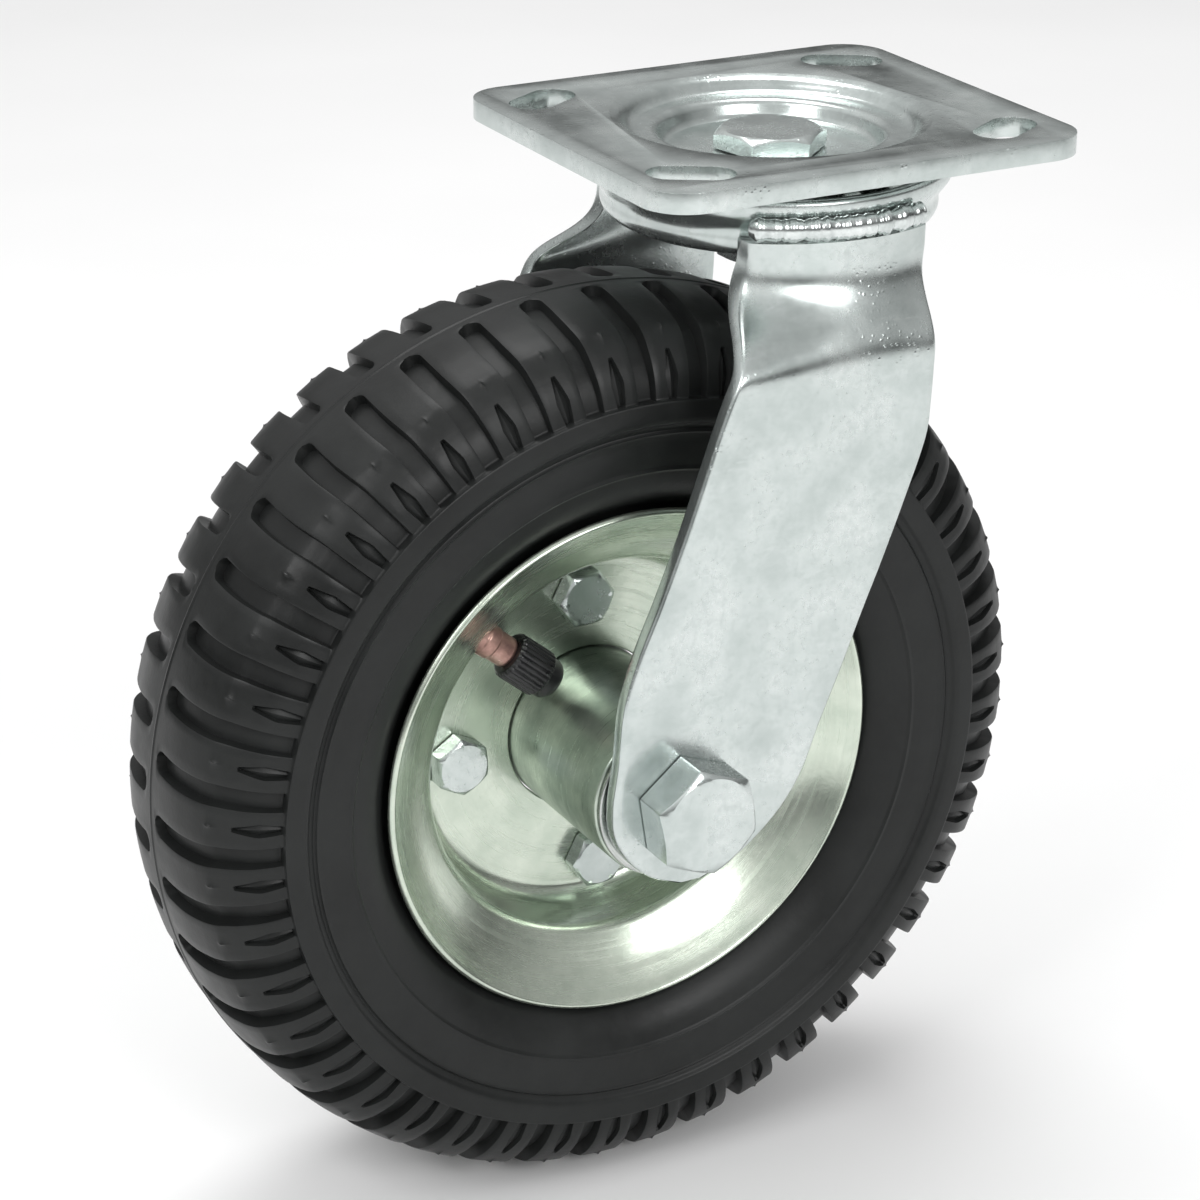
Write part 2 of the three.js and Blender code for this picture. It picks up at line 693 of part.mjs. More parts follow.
function buildRimHalf(side) {
  const outline = [...RIM_VISIBLE, ...RIM_HIDDEN];
  let rim = turnedAboutY(side > 0 ? outline : mirrored(outline), LARGE_TURN);
  for (const { x, z } of rimBoltPlaces()) {
    const hole = cylinderAlongY(RIM_BOLT_R + GAP, -RIM_HOLE_REACH, RIM_HOLE_REACH, TINY_TURN);
    rim = rim.subtract(hole.translate([x, 0, z]));
  }
  if (side < 0) rim = rim.subtract(valveHole(GAP));
  return shiftToAxle(rim);
}

function buildRimBolt({ x, z, angle }) {
  const seat = SHEET + 1.5 * GAP;
  const turn = THREE.MathUtils.radToDeg(angle);
  const head = hexAlongY(RIM_BOLT_FLATS, seat, seat + RIM_BOLT_HEAD)
    .rotate([180, 0, 0])
    .rotate([0, -turn, 0]);
  const end = seat + RIM_NUT + RIM_BOLT_STICKS_OUT;
  const shank = cylinderAlongY(RIM_BOLT_R, -seat - 1, end, TINY_TURN);
  return shiftToAxle(head.add(shank).translate([x, 0, z]));
}

function buildRimNut({ x, z, angle }) {
  const seat = SHEET + 1.5 * GAP;
  const turn = THREE.MathUtils.radToDeg(angle);
  const hole = cylinderAlongY(RIM_BOLT_R + GAP, seat - 1, seat + RIM_NUT + 1, TINY_TURN);
  const nut = hexAlongY(RIM_BOLT_FLATS, seat, seat + RIM_NUT).subtract(hole);
  return shiftToAxle(nut.rotate([0, -turn, 0]).translate([x, 0, z]));
}

// ---- tyre, tube and valve ----

// A rounded-square section, sampled between two angles about its own centre.
function sectionPoints({ centreR, half, rise, power }, start, end, count) {
  const points = [];
  for (let i = 0; i <= count; i += 1) {
    const angle = THREE.MathUtils.lerp(start, end, i / count);
    const across = Math.sign(Math.cos(angle)) * Math.abs(Math.cos(angle)) ** (2 / power);
    const out = Math.sign(Math.sin(angle)) * Math.abs(Math.sin(angle)) ** (2 / power);
    points.push([centreR + rise * out, half * across]);
  }
  return points;
}

// The inner tube's section, grown outwards by some amount.
function tubeSection(growth) {
  return {
    centreR: TUBE_BASE_R + TUBE_RISE,
    half: TUBE_HALF + growth,
    rise: TUBE_RISE + growth,
    power: TUBE_POWER,
  };
}

function tyreProfile() {
  const centreR = TYRE_R - TYRE_RISE;
  const outside = sectionPoints(
    { centreR, half: TYRE_HALF, rise: TYRE_RISE, power: TYRE_POWER },
    THREE.MathUtils.degToRad(-52),
    THREE.MathUtils.degToRad(232),
    14,
  );
  const bead = [[60, 20], [53.5, 15.6], [50.6, 14], [51, 11]];
  const inside = sectionPoints(
    tubeSection(2 * GAP),
    ((TUBE_SIDES / 2 + 1) / TUBE_SIDES) * 2 * Math.PI,
    (-1 / TUBE_SIDES) * 2 * Math.PI,
    TUBE_SIDES / 2 + 2,
  );
  return {
    outsideCount: outside.length,
    points: [...outside, ...mirrored(bead), ...inside, ...bead.reverse()],
  };
}

// Presses the tread grooves into the tyre's outside: they lean from the crown to the shoulder.
function pressTread(geometry, outsideCount, ringSize) {
  const points = geometry.attributes.position;
  for (let i = 0; i < points.count; i += 1) {
    const row = i % ringSize;
    const column = Math.floor(i / ringSize);
    const radius = Math.hypot(points.getX(i), points.getZ(i));
    const across = points.getY(i);
    const outside = row < outsideCount;
    const onTread = radius > TYRE_R - TREAD_SHOULDER && Math.abs(across) > TREAD_CENTRE;
    const lean = Math.round((2 * Math.abs(across)) / TYRE_HALF);
    const stagger = across > 0 ? 1 : 0;
    const inGroove = (column + lean + stagger) % LUG_STEPS === 0;
    if (!outside || !onTread || !inGroove) continue;
    const scale = (radius - TREAD_DEPTH) / radius;
    points.setX(i, points.getX(i) * scale);
    points.setZ(i, points.getZ(i) * scale);
  }
}

function buildTyre() {
  const { points, outsideCount } = tyreProfile();
  const geometry = turnedGeometry(points, LUGS * LUG_STEPS);
  pressTread(geometry, outsideCount, points.length + 1);
  return shiftToAxle(toSolid(geometry).subtract(valveHole(2 * GAP)));
}

function buildInnerTube() {
  const ring = (wall) => turnedAboutY(
    sectionPoints(
      tubeSection(-wall),
      0,
      2 * Math.PI,
      TUBE_SIDES,
    ).slice(0, -1),
    30,
  );
  return shiftToAxle(ring(0).subtract(ring(TUBE_WALL)).subtract(valveHole(GAP)));
}

function buildValveStem() {
  const stem = turnedAboutY([
    [0, -VALVE_REACH],
    [VALVE_R - 0.8, -VALVE_REACH],
    [VALVE_R - 0.8, -VALVE_REACH + CAP_LENGTH - CAP_WALL_END - 1],
    [VALVE_R, -VALVE_REACH + CAP_LENGTH - CAP_WALL_END],
    [VALVE_R, VALVE_ROOT],
    [0, VALVE_ROOT],
  ], TINY_TURN);
  return shiftToAxle(placeOnValve(stem));
}

function buildValveCap() {
  const mouth = -VALVE_REACH + CAP_LENGTH - CAP_WALL_END - 1 - GAP;
  const inside = -VALVE_REACH - GAP;
  const tip = mouth - CAP_LENGTH;
  const cap = turnedAboutY([
    [0, tip],
    [CAP_R - 2.4, tip],
    [CAP_R - 0.6, tip + 1.2],
    [CAP_R, tip + 3],
    [CAP_R, mouth - 0.6],
    [CAP_R - 0.6, mouth],
    [VALVE_R - 0.8 + GAP, mouth],
    [VALVE_R - 0.8 + GAP, inside],
    [0, inside],
  ], SMALL_TURN);
  return shiftToAxle(placeOnValve(cap));
}

// ---- assembly ----

function buildCaster() {
  const caster = new THREE.Group();
  caster.name = 'gate_wheel';
  const add = (name, solid, finish) => caster.add(toMesh(name, solid, finish));

  add('top_plate', buildTopPlate(), 'zinc');
  add('kingpin_bolt', buildKingpinBolt(), 'zinc');
  add('kingpin_nut', buildKingpinNut(), 'zinc');
  add('kingpin_spacer', buildKingpinSpacer(), 'bearing_steel');
  add('lower_race', buildLowerRace(), 'bearing_steel');
  add('upper_ball_ring', buildUpperBallRing(), 'bearing_steel');
  add('lower_ball_ring', buildLowerBallRing(), 'bearing_steel');
  add('fork_crown', buildCrown(), 'zinc');
  add('axle_bolt', buildAxleBolt(), 'zinc');
  add('axle_nut', buildAxleNut(), 'zinc');
  add('axle_sleeve', buildAxleSleeve(), 'bearing_steel');
  add('hub_tube', buildHubTube(), 'rim_zinc');

  for (const [word, side] of [['near', -1], ['far', 1]]) {
    add(`leg_${word}`, buildLeg(side), 'zinc');
    add(`weld_bead_${word}`, buildWeldBead(side), 'weld');
    add(`rim_half_${word}`, buildRimHalf(side), 'rim_zinc');
    add(`bearing_inner_race_${word}`, buildInnerRace(side), 'bearing_steel');
    add(`bearing_outer_race_${word}`, buildOuterRace(side), 'bearing_steel');
    add(`bearing_balls_${word}`, buildHubBalls(side), 'bearing_steel');
    add(`bearing_shield_${word}`, buildShield(side), 'bearing_steel');
  }

  rimBoltPlaces().forEach((place, i) => {
    add(`rim_bolt_${i + 1}`, buildRimBolt(place), 'zinc');
    add(`rim_nut_${i + 1}`, buildRimNut(place), 'zinc');
  });

  add('tyre', buildTyre(), 'tread_rubber');
  add('inner_tube', buildInnerTube(), 'tube_rubber');
  add('valve_stem', buildValveStem(), 'copper');
  add('valve_cap', buildValveCap(), 'cap_plastic');
  return caster;
}

export default buildCaster();
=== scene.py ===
import json
import math

import bmesh
import bpy
from mathutils import Matrix, Vector


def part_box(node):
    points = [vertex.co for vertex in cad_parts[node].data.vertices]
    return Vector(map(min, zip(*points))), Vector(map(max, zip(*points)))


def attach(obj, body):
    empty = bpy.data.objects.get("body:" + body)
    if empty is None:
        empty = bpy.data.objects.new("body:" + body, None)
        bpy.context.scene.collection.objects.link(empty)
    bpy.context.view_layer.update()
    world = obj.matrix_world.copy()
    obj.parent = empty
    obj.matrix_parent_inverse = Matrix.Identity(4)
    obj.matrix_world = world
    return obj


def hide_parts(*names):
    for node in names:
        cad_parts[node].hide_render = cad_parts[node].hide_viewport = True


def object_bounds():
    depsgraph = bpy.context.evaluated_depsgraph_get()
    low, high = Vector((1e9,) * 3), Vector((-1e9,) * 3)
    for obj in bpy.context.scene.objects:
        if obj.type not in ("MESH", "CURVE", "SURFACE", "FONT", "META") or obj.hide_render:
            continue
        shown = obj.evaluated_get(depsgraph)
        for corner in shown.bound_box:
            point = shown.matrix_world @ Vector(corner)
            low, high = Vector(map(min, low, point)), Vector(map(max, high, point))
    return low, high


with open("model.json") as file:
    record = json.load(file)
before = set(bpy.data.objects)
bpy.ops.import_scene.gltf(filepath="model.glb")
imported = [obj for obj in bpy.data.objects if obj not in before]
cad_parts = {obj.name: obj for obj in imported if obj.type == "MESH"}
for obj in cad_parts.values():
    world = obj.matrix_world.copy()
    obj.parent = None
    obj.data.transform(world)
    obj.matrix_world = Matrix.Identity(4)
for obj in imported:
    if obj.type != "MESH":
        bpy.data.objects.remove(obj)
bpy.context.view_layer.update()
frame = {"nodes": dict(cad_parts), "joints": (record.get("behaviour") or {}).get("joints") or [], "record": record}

# Lengths in this script are millimetres until a mesh is made, which turns them into metres.
MM = 0.001
TURN = 2 * math.pi
FINE_TURN = 160
SMALL_TURN = 72
CLEARANCE = 0.3


def box_mm(node):
    low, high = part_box(node)
    return low / MM, high / MM


def joint_centre(name):
    joint = next(j for j in frame["joints"] if j["name"] == name)
    return Vector(joint["pos_m"]) / MM


def turned_radius(node):
    """Outside radius of a node that was turned about Y."""
    low, high = box_mm(node)
    return (high.z - low.z) / 2


AXLE = joint_centre("wheel_spin")
SIDES = {"near": -1, "far": 1}

# ---- mesh making ----


def make_object(name, points, faces, place=None):
    """A mesh object from points in millimetres, doubles merged and faces turned outwards."""
    place = place or Matrix.Identity(4)
    build = bmesh.new()
    corners = [build.verts.new((place @ Vector(p)) * MM) for p in points]
    for face in faces:
        build.faces.new([corners[i] for i in face])
    bmesh.ops.remove_doubles(build, verts=build.verts, dist=2e-6)
    bmesh.ops.dissolve_degenerate(build, edges=build.edges, dist=1e-7)
    bmesh.ops.recalc_face_normals(build, faces=build.faces)
    mesh = bpy.data.meshes.new(name)
    build.to_mesh(mesh)
    build.free()
    made = bpy.data.objects.new(name, mesh)
    bpy.context.scene.collection.objects.link(made)
    return made


def loft(name, rings, place=None):
    """A solid through rings of equal length. The last ring joins back to the first."""
    count = len(rings[0])
    faces = []
    for i in range(len(rings)):
        j = (i + 1) % len(rings)
        for k in range(count):
            m = (k + 1) % count
            faces.append((i * count + k, j * count + k, j * count + m, i * count + m))
    return make_object(name, [p for ring in rings for p in ring], faces, place)


def quads(rows, width, rows_join, columns_join):
    """Faces over a grid of points, whose last row or column may join back to the first."""
    faces = []
    for i in range(rows if rows_join else rows - 1):
        j = (i + 1) % rows
        for k in range(width if columns_join else width - 1):
            m = (k + 1) % width
            faces.append((i * width + k, i * width + m, j * width + m, j * width + k))
    return faces


def eased_corner(before, corner, after, reach, steps=4):
    """Points that round one corner of a profile off."""
    start = corner + (before - corner).normalized() * reach
    end = corner + (after - corner).normalized() * reach
    points = []
    for i in range(steps + 1):
        t = i / steps
        points.append(start * (1 - t) ** 2 + corner * 2 * t * (1 - t) + end * t * t)
    return points


def rounded(profile):
    """A closed profile of (radius, height) or (radius, height, rounding), with its corners rounded."""
    spots = [Vector(p[:2]) for p in profile]
    result = []
    for i, point in enumerate(profile):
        before, corner, after = spots[i - 1], spots[i], spots[(i + 1) % len(spots)]
        wanted = point[2] if len(point) > 2 else 0.0
        limit = 0.48 * min((before - corner).length, (after - corner).length)
        reach = min(wanted, limit)
        if reach < 0.01 or corner.x < 1e-6:
            result.append(corner)
        else:
            result.extend(eased_corner(before, corner, after, reach))
    return result


def turned(name, profile, place, turns=FINE_TURN):
    """Revolves a closed profile about Y, then puts it in place."""
    section = rounded(profile)
    rings = []
    for i in range(turns):
        angle = TURN * i / turns
        c, s = math.cos(angle), math.sin(angle)
        rings.append([(p.x * c, p.y, p.x * s) for p in section])
    return loft(name, rings, place)


def plain_rod(radius, start, end):
    """Profile of a plain cylinder between two heights."""
    return [(0, start), (radius, start), (radius, end), (0, end)]


def flipped(profile, side):
    return [(p[0], p[1] * side, *p[2:]) for p in profile]


ON_AXLE = Matrix.Translation(AXLE)
UPRIGHT = Matrix.Rotation(math.pi / 2, 4, "X")


def apply_modifiers(made):
    """Bakes an object's modifiers into a plain mesh."""
    graph = bpy.context.evaluated_depsgraph_get()
    mesh = bpy.data.meshes.new_from_object(made.evaluated_get(graph))
    made.modifiers.clear()
    made.data = mesh
    return made


def cut(made, *tools, operation="DIFFERENCE"):
    for tool in tools:
        step = made.modifiers.new("cut", "BOOLEAN")
        step.operation = operation
        step.solver = "EXACT"
        step.object = tool
        apply_modifiers(made)
        bpy.data.objects.remove(tool)
    return made


def soften(made, width, angle=40, segments=3):
    step = made.modifiers.new("soften", "BEVEL")
    step.width = width * MM
    step.segments = segments
    step.limit_method = "ANGLE"
    step.angle_limit = math.radians(angle)
    return apply_modifiers(made)


def shade(made, angle):
    made.data.polygons.foreach_set("use_smooth", [True] * len(made.data.polygons))
    made.data.set_sharp_from_angle(angle=math.radians(angle))
    return made


def finished(made, body, slot, material, *nodes, angle=32):
    """Shades and paints a piece, and puts it in the place of its CAD nodes."""
    shade(made, angle)
    made.data.materials.clear()
    made.data.materials.append(material)
    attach(made, body)
    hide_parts(*nodes)
    return made


# ---- materials ----


class Nodes:
    """Adds linked nodes to one node tree."""

    def __init__(self, tree):
        self.tree = tree

    def node(self, kind, inputs=None, **settings):
        made = self.tree.nodes.new(kind)
        for key, value in settings.items():
            setattr(made, key, value)
        for key, value in (inputs or {}).items():
            self.feed(made.inputs[key], value)
        return made

    def first(self, kind, inputs=None, **settings):
        """The first output of a new node."""
        return self.node(kind, inputs, **settings).outputs[0]

    def feed(self, socket, value):
        if isinstance(value, bpy.types.NodeSocket):
            self.tree.links.new(value, socket)
        else:
            socket.default_value = value

    def math(self, operation, first, second=0.0):
        return self.first("ShaderNodeMath", {0: first, 1: second}, operation=operation)

    def ranged(self, value, low, high, to_low=0.0, to_high=1.0):
        return self.first(
            "ShaderNodeMapRange",
            {"Value": value, "From Min": low, "From Max": high, "To Min": to_low, "To Max": to_high},
        )


class Paint(Nodes):
    """Builds one node material step by step."""

    def __init__(self, name):
        self.material = bpy.data.materials.new(name)
        self.material.use_nodes = True
        super().__init__(self.material.node_tree)
        self.shader = self.tree.nodes["Principled BSDF"]
        self.coordinates = self.node("ShaderNodeTexCoord").outputs["Object"]

    def set(self, socket, value):
        self.feed(self.shader.inputs[socket], value)

    def mapped(self, scale, centre=(0, 0, 0)):
        shift = [-c * MM * s for c, s in zip(centre, scale)]
        inputs = {"Vector": self.coordinates, "Scale": scale, "Location": shift}
        return self.first("ShaderNodeMapping", inputs)

    def noise(self, scale, detail=4.0, roughness=0.55, vector=None):
        vector = self.coordinates if vector is None else vector
        inputs = {"Vector": vector, "Scale": scale, "Detail": detail, "Roughness": roughness}
        return self.node("ShaderNodeTexNoise", inputs).outputs["Fac"]

    def ramp(self, value, stops):
        made = self.node("ShaderNodeValToRGB", {"Fac": value})
        band = made.color_ramp.elements
        while len(band) < len(stops):
            band.new(0.5)
        for spot, (place, colour) in zip(band, stops):
            spot.position = place
            spot.color = (*colour, 1)
        return made.outputs["Color"]

    def mix(self, share, first, second):
        made = self.node("ShaderNodeMix", data_type="RGBA")
        self.feed(made.inputs["Factor"], share)
        self.feed(made.inputs[6], first)
        self.feed(made.inputs[7], second)
        return made.outputs[2]

    def bump(self, height, strength, distance, normal=None):
        inputs = {"Height": height, "Strength": strength, "Distance": distance * MM}
        if normal is not None:
            inputs["Normal"] = normal
        return self.node("ShaderNodeBump", inputs).outputs["Normal"]

    def around_axle(self, across, along):
        """Coordinates that run round the axle, for lines left by turning and brushing."""
        moved = self.mapped((1, 1, 1), AXLE)
        parts = self.node("ShaderNodeSeparateXYZ", {"Vector": moved}).outputs
        square = self.math("ADD", self.math("MULTIPLY", parts["X"], parts["X"]),
                           self.math("MULTIPLY", parts["Z"], parts["Z"]))
        radius = self.math("SQRT", square)
        angle = self.math("ARCTAN2", parts["Z"], parts["X"])
        made = self.node("ShaderNodeCombineXYZ", {
            "X": self.math("MULTIPLY", radius, across),
            "Y": self.math("MULTIPLY", parts["Y"], across),
            "Z": self.math("MULTIPLY", angle, along),
        })
        return made.outputs["Vector"]


def plated(name, light, middle, dark, rough=(0.2, 0.42), streaks=0.5, sparkle=0.0):
    """Bright plated steel: cloudy tone, fine rolling scratches, pits and small bright specks."""
    paint = Paint(name)
    clouds = paint.noise(60, 5, 0.6)
    grain = paint.noise(420, 6, 0.7)
    scratches = paint.noise(1.0, 3, 0.7, paint.mapped((90, 1500, 420)))
    crossing = paint.noise(1.0, 2, 0.6, paint.mapped((1300, 120, 160)))
    tone = paint.ramp(clouds, [(0.3, dark), (0.5, middle), (0.68, light)])
    speckled = paint.mix(paint.ranged(grain, 0.46, 0.7, 0, 0.55), tone, (*dark, 1))
    line = paint.ranged(scratches, 0.6, 0.72, 0, streaks)
    coloured = paint.mix(line, speckled, (*light, 1))
    paint.set("Base Color", coloured)
    cloudy_grain = paint.math("ADD", clouds, paint.math("MULTIPLY", grain, 0.6))
    paint.set("Roughness", paint.ranged(cloudy_grain, 0.55, 1.05, *rough))
    paint.set("Metallic", 0.92)
    normal = paint.bump(scratches, 0.12, 0.04)
    normal = paint.bump(crossing, 0.08, 0.03, normal)
    normal = paint.bump(grain, 0.22, 0.05, normal)
    normal = paint.bump(clouds, 0.1, 0.4, normal)
    if sparkle:
        cells = paint.node("ShaderNodeTexVoronoi", {"Vector": paint.coordinates, "Scale": 700.0})
        dots = paint.ranged(cells.outputs["Distance"], 0.05, 0.32, 1, 0)
        patch = paint.ranged(paint.noise(38, 2), 0.5, 0.62)
        normal = paint.bump(paint.math("MULTIPLY", dots, patch), sparkle, 0.12, normal)
    paint.set("Normal", normal)
    return paint.material


def brushed_round(name, light, dark, metallic=0.9, rough=(0.2, 0.4), across=2600, depth=0.25, contrast=0.35):
    """Steel with fine lines that run round the axle, over a cloudy plated tone."""
    paint = Paint(name)
    lines = paint.noise(1.0, 4, 0.7, paint.around_axle(across, 1.2))
    clouds = paint.noise(75, 5, 0.6)
    grain = paint.noise(500, 4, 0.6)
    tone = paint.ramp(clouds, [(0.32, dark), (0.66, light)])
    coloured = paint.mix(paint.ranged(lines, 0.35, 0.7, 0, contrast), tone, (*dark, 1))
    paint.set("Base Color", coloured)
    paint.set("Roughness", paint.ranged(lines, 0.3, 0.7, *rough))
    paint.set("Metallic", metallic)
    normal = paint.bump(lines, depth, 0.05)
    normal = paint.bump(grain, 0.12, 0.05, normal)
    paint.set("Normal", paint.bump(clouds, 0.2, 0.5, normal))
    return paint.material


def moulded_rubber(name, light, dark, rough=(0.38, 0.62)):
    """Tyre rubber: dusty clouds, mould grain and faint lines left round the mould."""
    paint = Paint(name)
    dust = paint.noise(32, 6, 0.65)
    grain = paint.noise(900, 5, 0.65)
    scuffs = paint.noise(210, 4, 0.6)
    rings = paint.noise(1.0, 3, 0.6, paint.around_axle(1400, 2.0))
    tone = paint.ramp(dust, [(0.3, dark), (0.72, light)])
    worn = paint.mix(paint.ranged(scuffs, 0.52, 0.75, 0, 0.35), tone, (*light, 1))
    paint.set("Base Color", worn)
    paint.set("Roughness", paint.ranged(dust, 0.3, 0.7, *rough))
    paint.set("Specular IOR Level", 0.26)
    normal = paint.bump(grain, 0.3, 0.08)
    normal = paint.bump(rings, 0.12, 0.06, normal)
    paint.set("Normal", paint.bump(scuffs, 0.22, 0.3, normal))
    return paint.material


def tarnished_brass(name):
    paint = Paint(name)
    stain = paint.noise(160, 5, 0.65)
    grain = paint.noise(1200, 3)
    tone = paint.ramp(stain, [
        (0.3, (0.2, 0.115, 0.1)), (0.55, (0.42, 0.25, 0.21)), (0.75, (0.6, 0.42, 0.36)),
    ])
    paint.set("Base Color", tone)
    paint.set("Roughness", paint.ranged(stain, 0.3, 0.7, 0.5, 0.26))
    paint.set("Metallic", 0.75)
    paint.set("Normal", paint.bump(grain, 0.2, 0.05))
    return paint.material


def moulded_plastic(name):
    paint = Paint(name)
    cloud = paint.noise(240, 4)
    grain = paint.noise(2200, 3)
    tone = paint.ramp(cloud, [(0.3, (0.006, 0.006, 0.007)), (0.7, (0.016, 0.016, 0.017))])
    paint.set("Base Color", tone)
    paint.set("Roughness", paint.ranged(cloud, 0.3, 0.7, 0.24, 0.38))
    paint.set("Normal", paint.bump(grain, 0.15, 0.04))
    return paint.material


ZINC = plated("bright_zinc", (0.66, 0.705, 0.69), (0.58, 0.63, 0.615), (0.46, 0.51, 0.495),
              (0.17, 0.32), 0.35, 0.5)
WELD = plated("plated_weld", (0.8, 0.83, 0.82), (0.66, 0.7, 0.69), (0.36, 0.4, 0.39), (0.1, 0.24), 0.2)
RIM_ZINC = brushed_round("green_zinc", (0.7, 0.76, 0.66), (0.52, 0.59, 0.5), 0.92,
                         (0.18, 0.32), 700, 0.06, 0.08)
HUB_ZINC = brushed_round("brushed_hub", (0.6, 0.67, 0.58), (0.3, 0.36, 0.31), 0.92, (0.24, 0.42), 2600, 0.4)
STEEL = brushed_round("ground_steel", (0.62, 0.64, 0.62), (0.34, 0.36, 0.35), 1.0, (0.16, 0.34), 2400, 0.3)
TYRE_RUBBER = moulded_rubber("tyre_rubber", (0.018, 0.0195, 0.019), (0.008, 0.0086, 0.0084), (0.3, 0.5))
TUBE_RUBBER = moulded_rubber("tube_rubber", (0.03, 0.03, 0.031), (0.016, 0.016, 0.017))
BRASS = tarnished_brass("tarnished_brass")
PLASTIC = moulded_plastic("cap_plastic")
SLOT_MATERIALS = {
    "zinc": ZINC,
    "weld": WELD,
    "rim_zinc": RIM_ZINC,
    "bearing_steel": STEEL,
    "tread_rubber": TYRE_RUBBER,
    "tube_rubber": TUBE_RUBBER,
    "copper": BRASS,
    "cap_plastic": PLASTIC,
}


def paint_cad_nodes():
    for part in frame["record"]["subparts"]:
        node = frame["nodes"][part["node"]]
        node.data.materials.clear()
        node.data.materials.append(SLOT_MATERIALS[part["material_slot"]])


# ---- node trees for what repeats or follows a path ----


def new_tree(name, inputs):
    """A geometry node tree with a geometry input and output and named inputs for its sizes."""
    tree = bpy.data.node_groups.new(name, "GeometryNodeTree")
    face = tree.interface
    face.new_socket("Geometry", in_out="OUTPUT", socket_type="NodeSocketGeometry")
    face.new_socket("Geometry", in_out="INPUT", socket_type="NodeSocketGeometry")
    for label, kind in inputs:
        face.new_socket(label, in_out="INPUT", socket_type=kind)
    given, result = tree.nodes.new("NodeGroupInput"), tree.nodes.new("NodeGroupOutput")
    return Nodes(tree), given.outputs, result


def close_tree(grow, given, result, shape):
    """Paints what a tree has made and hands it to the tree's output."""
    painted = grow.first("GeometryNodeSetMaterial", {"Geometry": shape, "Material": given["Finish"]})
    grow.feed(result.inputs["Geometry"], painted)
    return grow.tree


def ring_of_copies_tree():
    """Copies of one mesh set out evenly round the Y axis, joined into one mesh."""
    grow, given, result = new_tree("ring_of_copies", [
        ("Count", "NodeSocketInt"),
        ("First Turn", "NodeSocketFloat"),
        ("Finish", "NodeSocketMaterial"),
    ])
    spots = grow.first("GeometryNodePoints", {"Count": given["Count"]})
    number = grow.first("GeometryNodeInputIndex")
    turn = grow.math("MULTIPLY", grow.math("DIVIDE", number, given["Count"]), TURN)
    angles = grow.first("ShaderNodeCombineXYZ", {"Y": grow.math("ADD", turn, given["First Turn"])})
    copies = grow.first("GeometryNodeInstanceOnPoints", {
        "Points": spots,
        "Instance": given["Geometry"],
        "Rotation": grow.first("FunctionNodeEulerToRotation", {"Euler": angles}),
    })
    real = grow.first("GeometryNodeRealizeInstances", {"Geometry": copies})
    welded = grow.first("GeometryNodeMergeByDistance", {"Geometry": real, "Distance": 3e-6})
    return close_tree(grow, given, result, welded)


def bead_ends(grow, along):
    """1 along the bead, easing to a small rounded tip at each end."""
    nearest = grow.math("MINIMUM", along, grow.math("SUBTRACT", 1.0, along))
    return grow.math("POWER", grow.ranged(nearest, 0.0, 0.035, 0.12, 1.0), 0.5)


def weld_bead_tree():
    """A bead laid along an arc about Z, its thickness rippled by each pass of the torch."""
    sizes = ("Path Radius", "Half Width", "Half Height", "Start", "Sweep", "Height", "Ripples", "Seed")
    grow, given, result = new_tree("weld_bead", [
        *((label, "NodeSocketFloat") for label in sizes),
        ("Finish", "NodeSocketMaterial"),
    ])
    path = grow.first("GeometryNodeCurveArc", {
        "Resolution": 240,
        "Radius": given["Path Radius"],
        "Start Angle": given["Start"],
        "Sweep Angle": given["Sweep"],
    })
    along = grow.node("GeometryNodeSplineParameter").outputs["Factor"]
    steps = grow.math("MULTIPLY", along, given["Ripples"])
    lumps = grow.node("ShaderNodeTexNoise", {
        "W": grow.math("ADD", steps, given["Seed"]),
        "Scale": 0.3,
        "Detail": 3.0,
    }, noise_dimensions="1D").outputs["Fac"]
    ripple = grow.ranged(grow.math("SINE", steps), -1.0, 1.0, -0.012, 0.012)
    swell = grow.ranged(lumps, 0.3, 0.7, 0.8, 1.08)
    size = grow.math("MULTIPLY", grow.math("ADD", swell, ripple), bead_ends(grow, along))
    circle = grow.first("GeometryNodeCurvePrimitiveCircle", {"Resolution": 24, "Radius": 1.0})
    reach = {"X": given["Half Width"], "Y": given["Half Height"], "Z": 1.0}
    scale = grow.first("ShaderNodeCombineXYZ", reach)
    bead = grow.first("GeometryNodeCurveToMesh", {
        "Curve": grow.first("GeometryNodeSetCurveRadius", {"Curve": path, "Radius": size}),
        "Profile Curve": grow.first("GeometryNodeTransform", {"Geometry": circle, "Scale": scale}),
        "Scale": grow.first("GeometryNodeInputRadius"),
        "Fill Caps": True,
    })
    up = grow.first("ShaderNodeCombineXYZ", {"Z": given["Height"]})
    placed = grow.first("GeometryNodeTransform", {"Geometry": bead, "Translation": up})
    return close_tree(grow, given, result, grow.first("GeometryNodeRealizeInstances", {"Geometry": placed}))


def move_mesh(made, place):
    """Moves an object's mesh, its place being in millimetres."""
    shift = place.copy()
    shift.translation = place.translation * MM
    made.data.transform(shift)


def grown(made, tree, values, place=None):
    """Runs a node tree on an object with the given inputs and keeps the result as a plain mesh."""
    step = made.modifiers.new("grow", "NODES")
    step.node_group = tree
    for item in tree.interface.items_tree:
        if item.in_out == "INPUT" and item.name in values:
            step[item.identifier] = values[item.name]
    apply_modifiers(made)
    if place is not None:
        move_mesh(made, place)
    clean = bmesh.new()
    clean.from_mesh(made.data)
    bmesh.ops.recalc_face_normals(clean, faces=clean.faces)
    clean.to_mesh(made.data)
    clean.free()
    return made


RING_OF_COPIES = ring_of_copies_tree()
WELD_BEAD = weld_bead_tree()

# ---- bolts and nuts ----


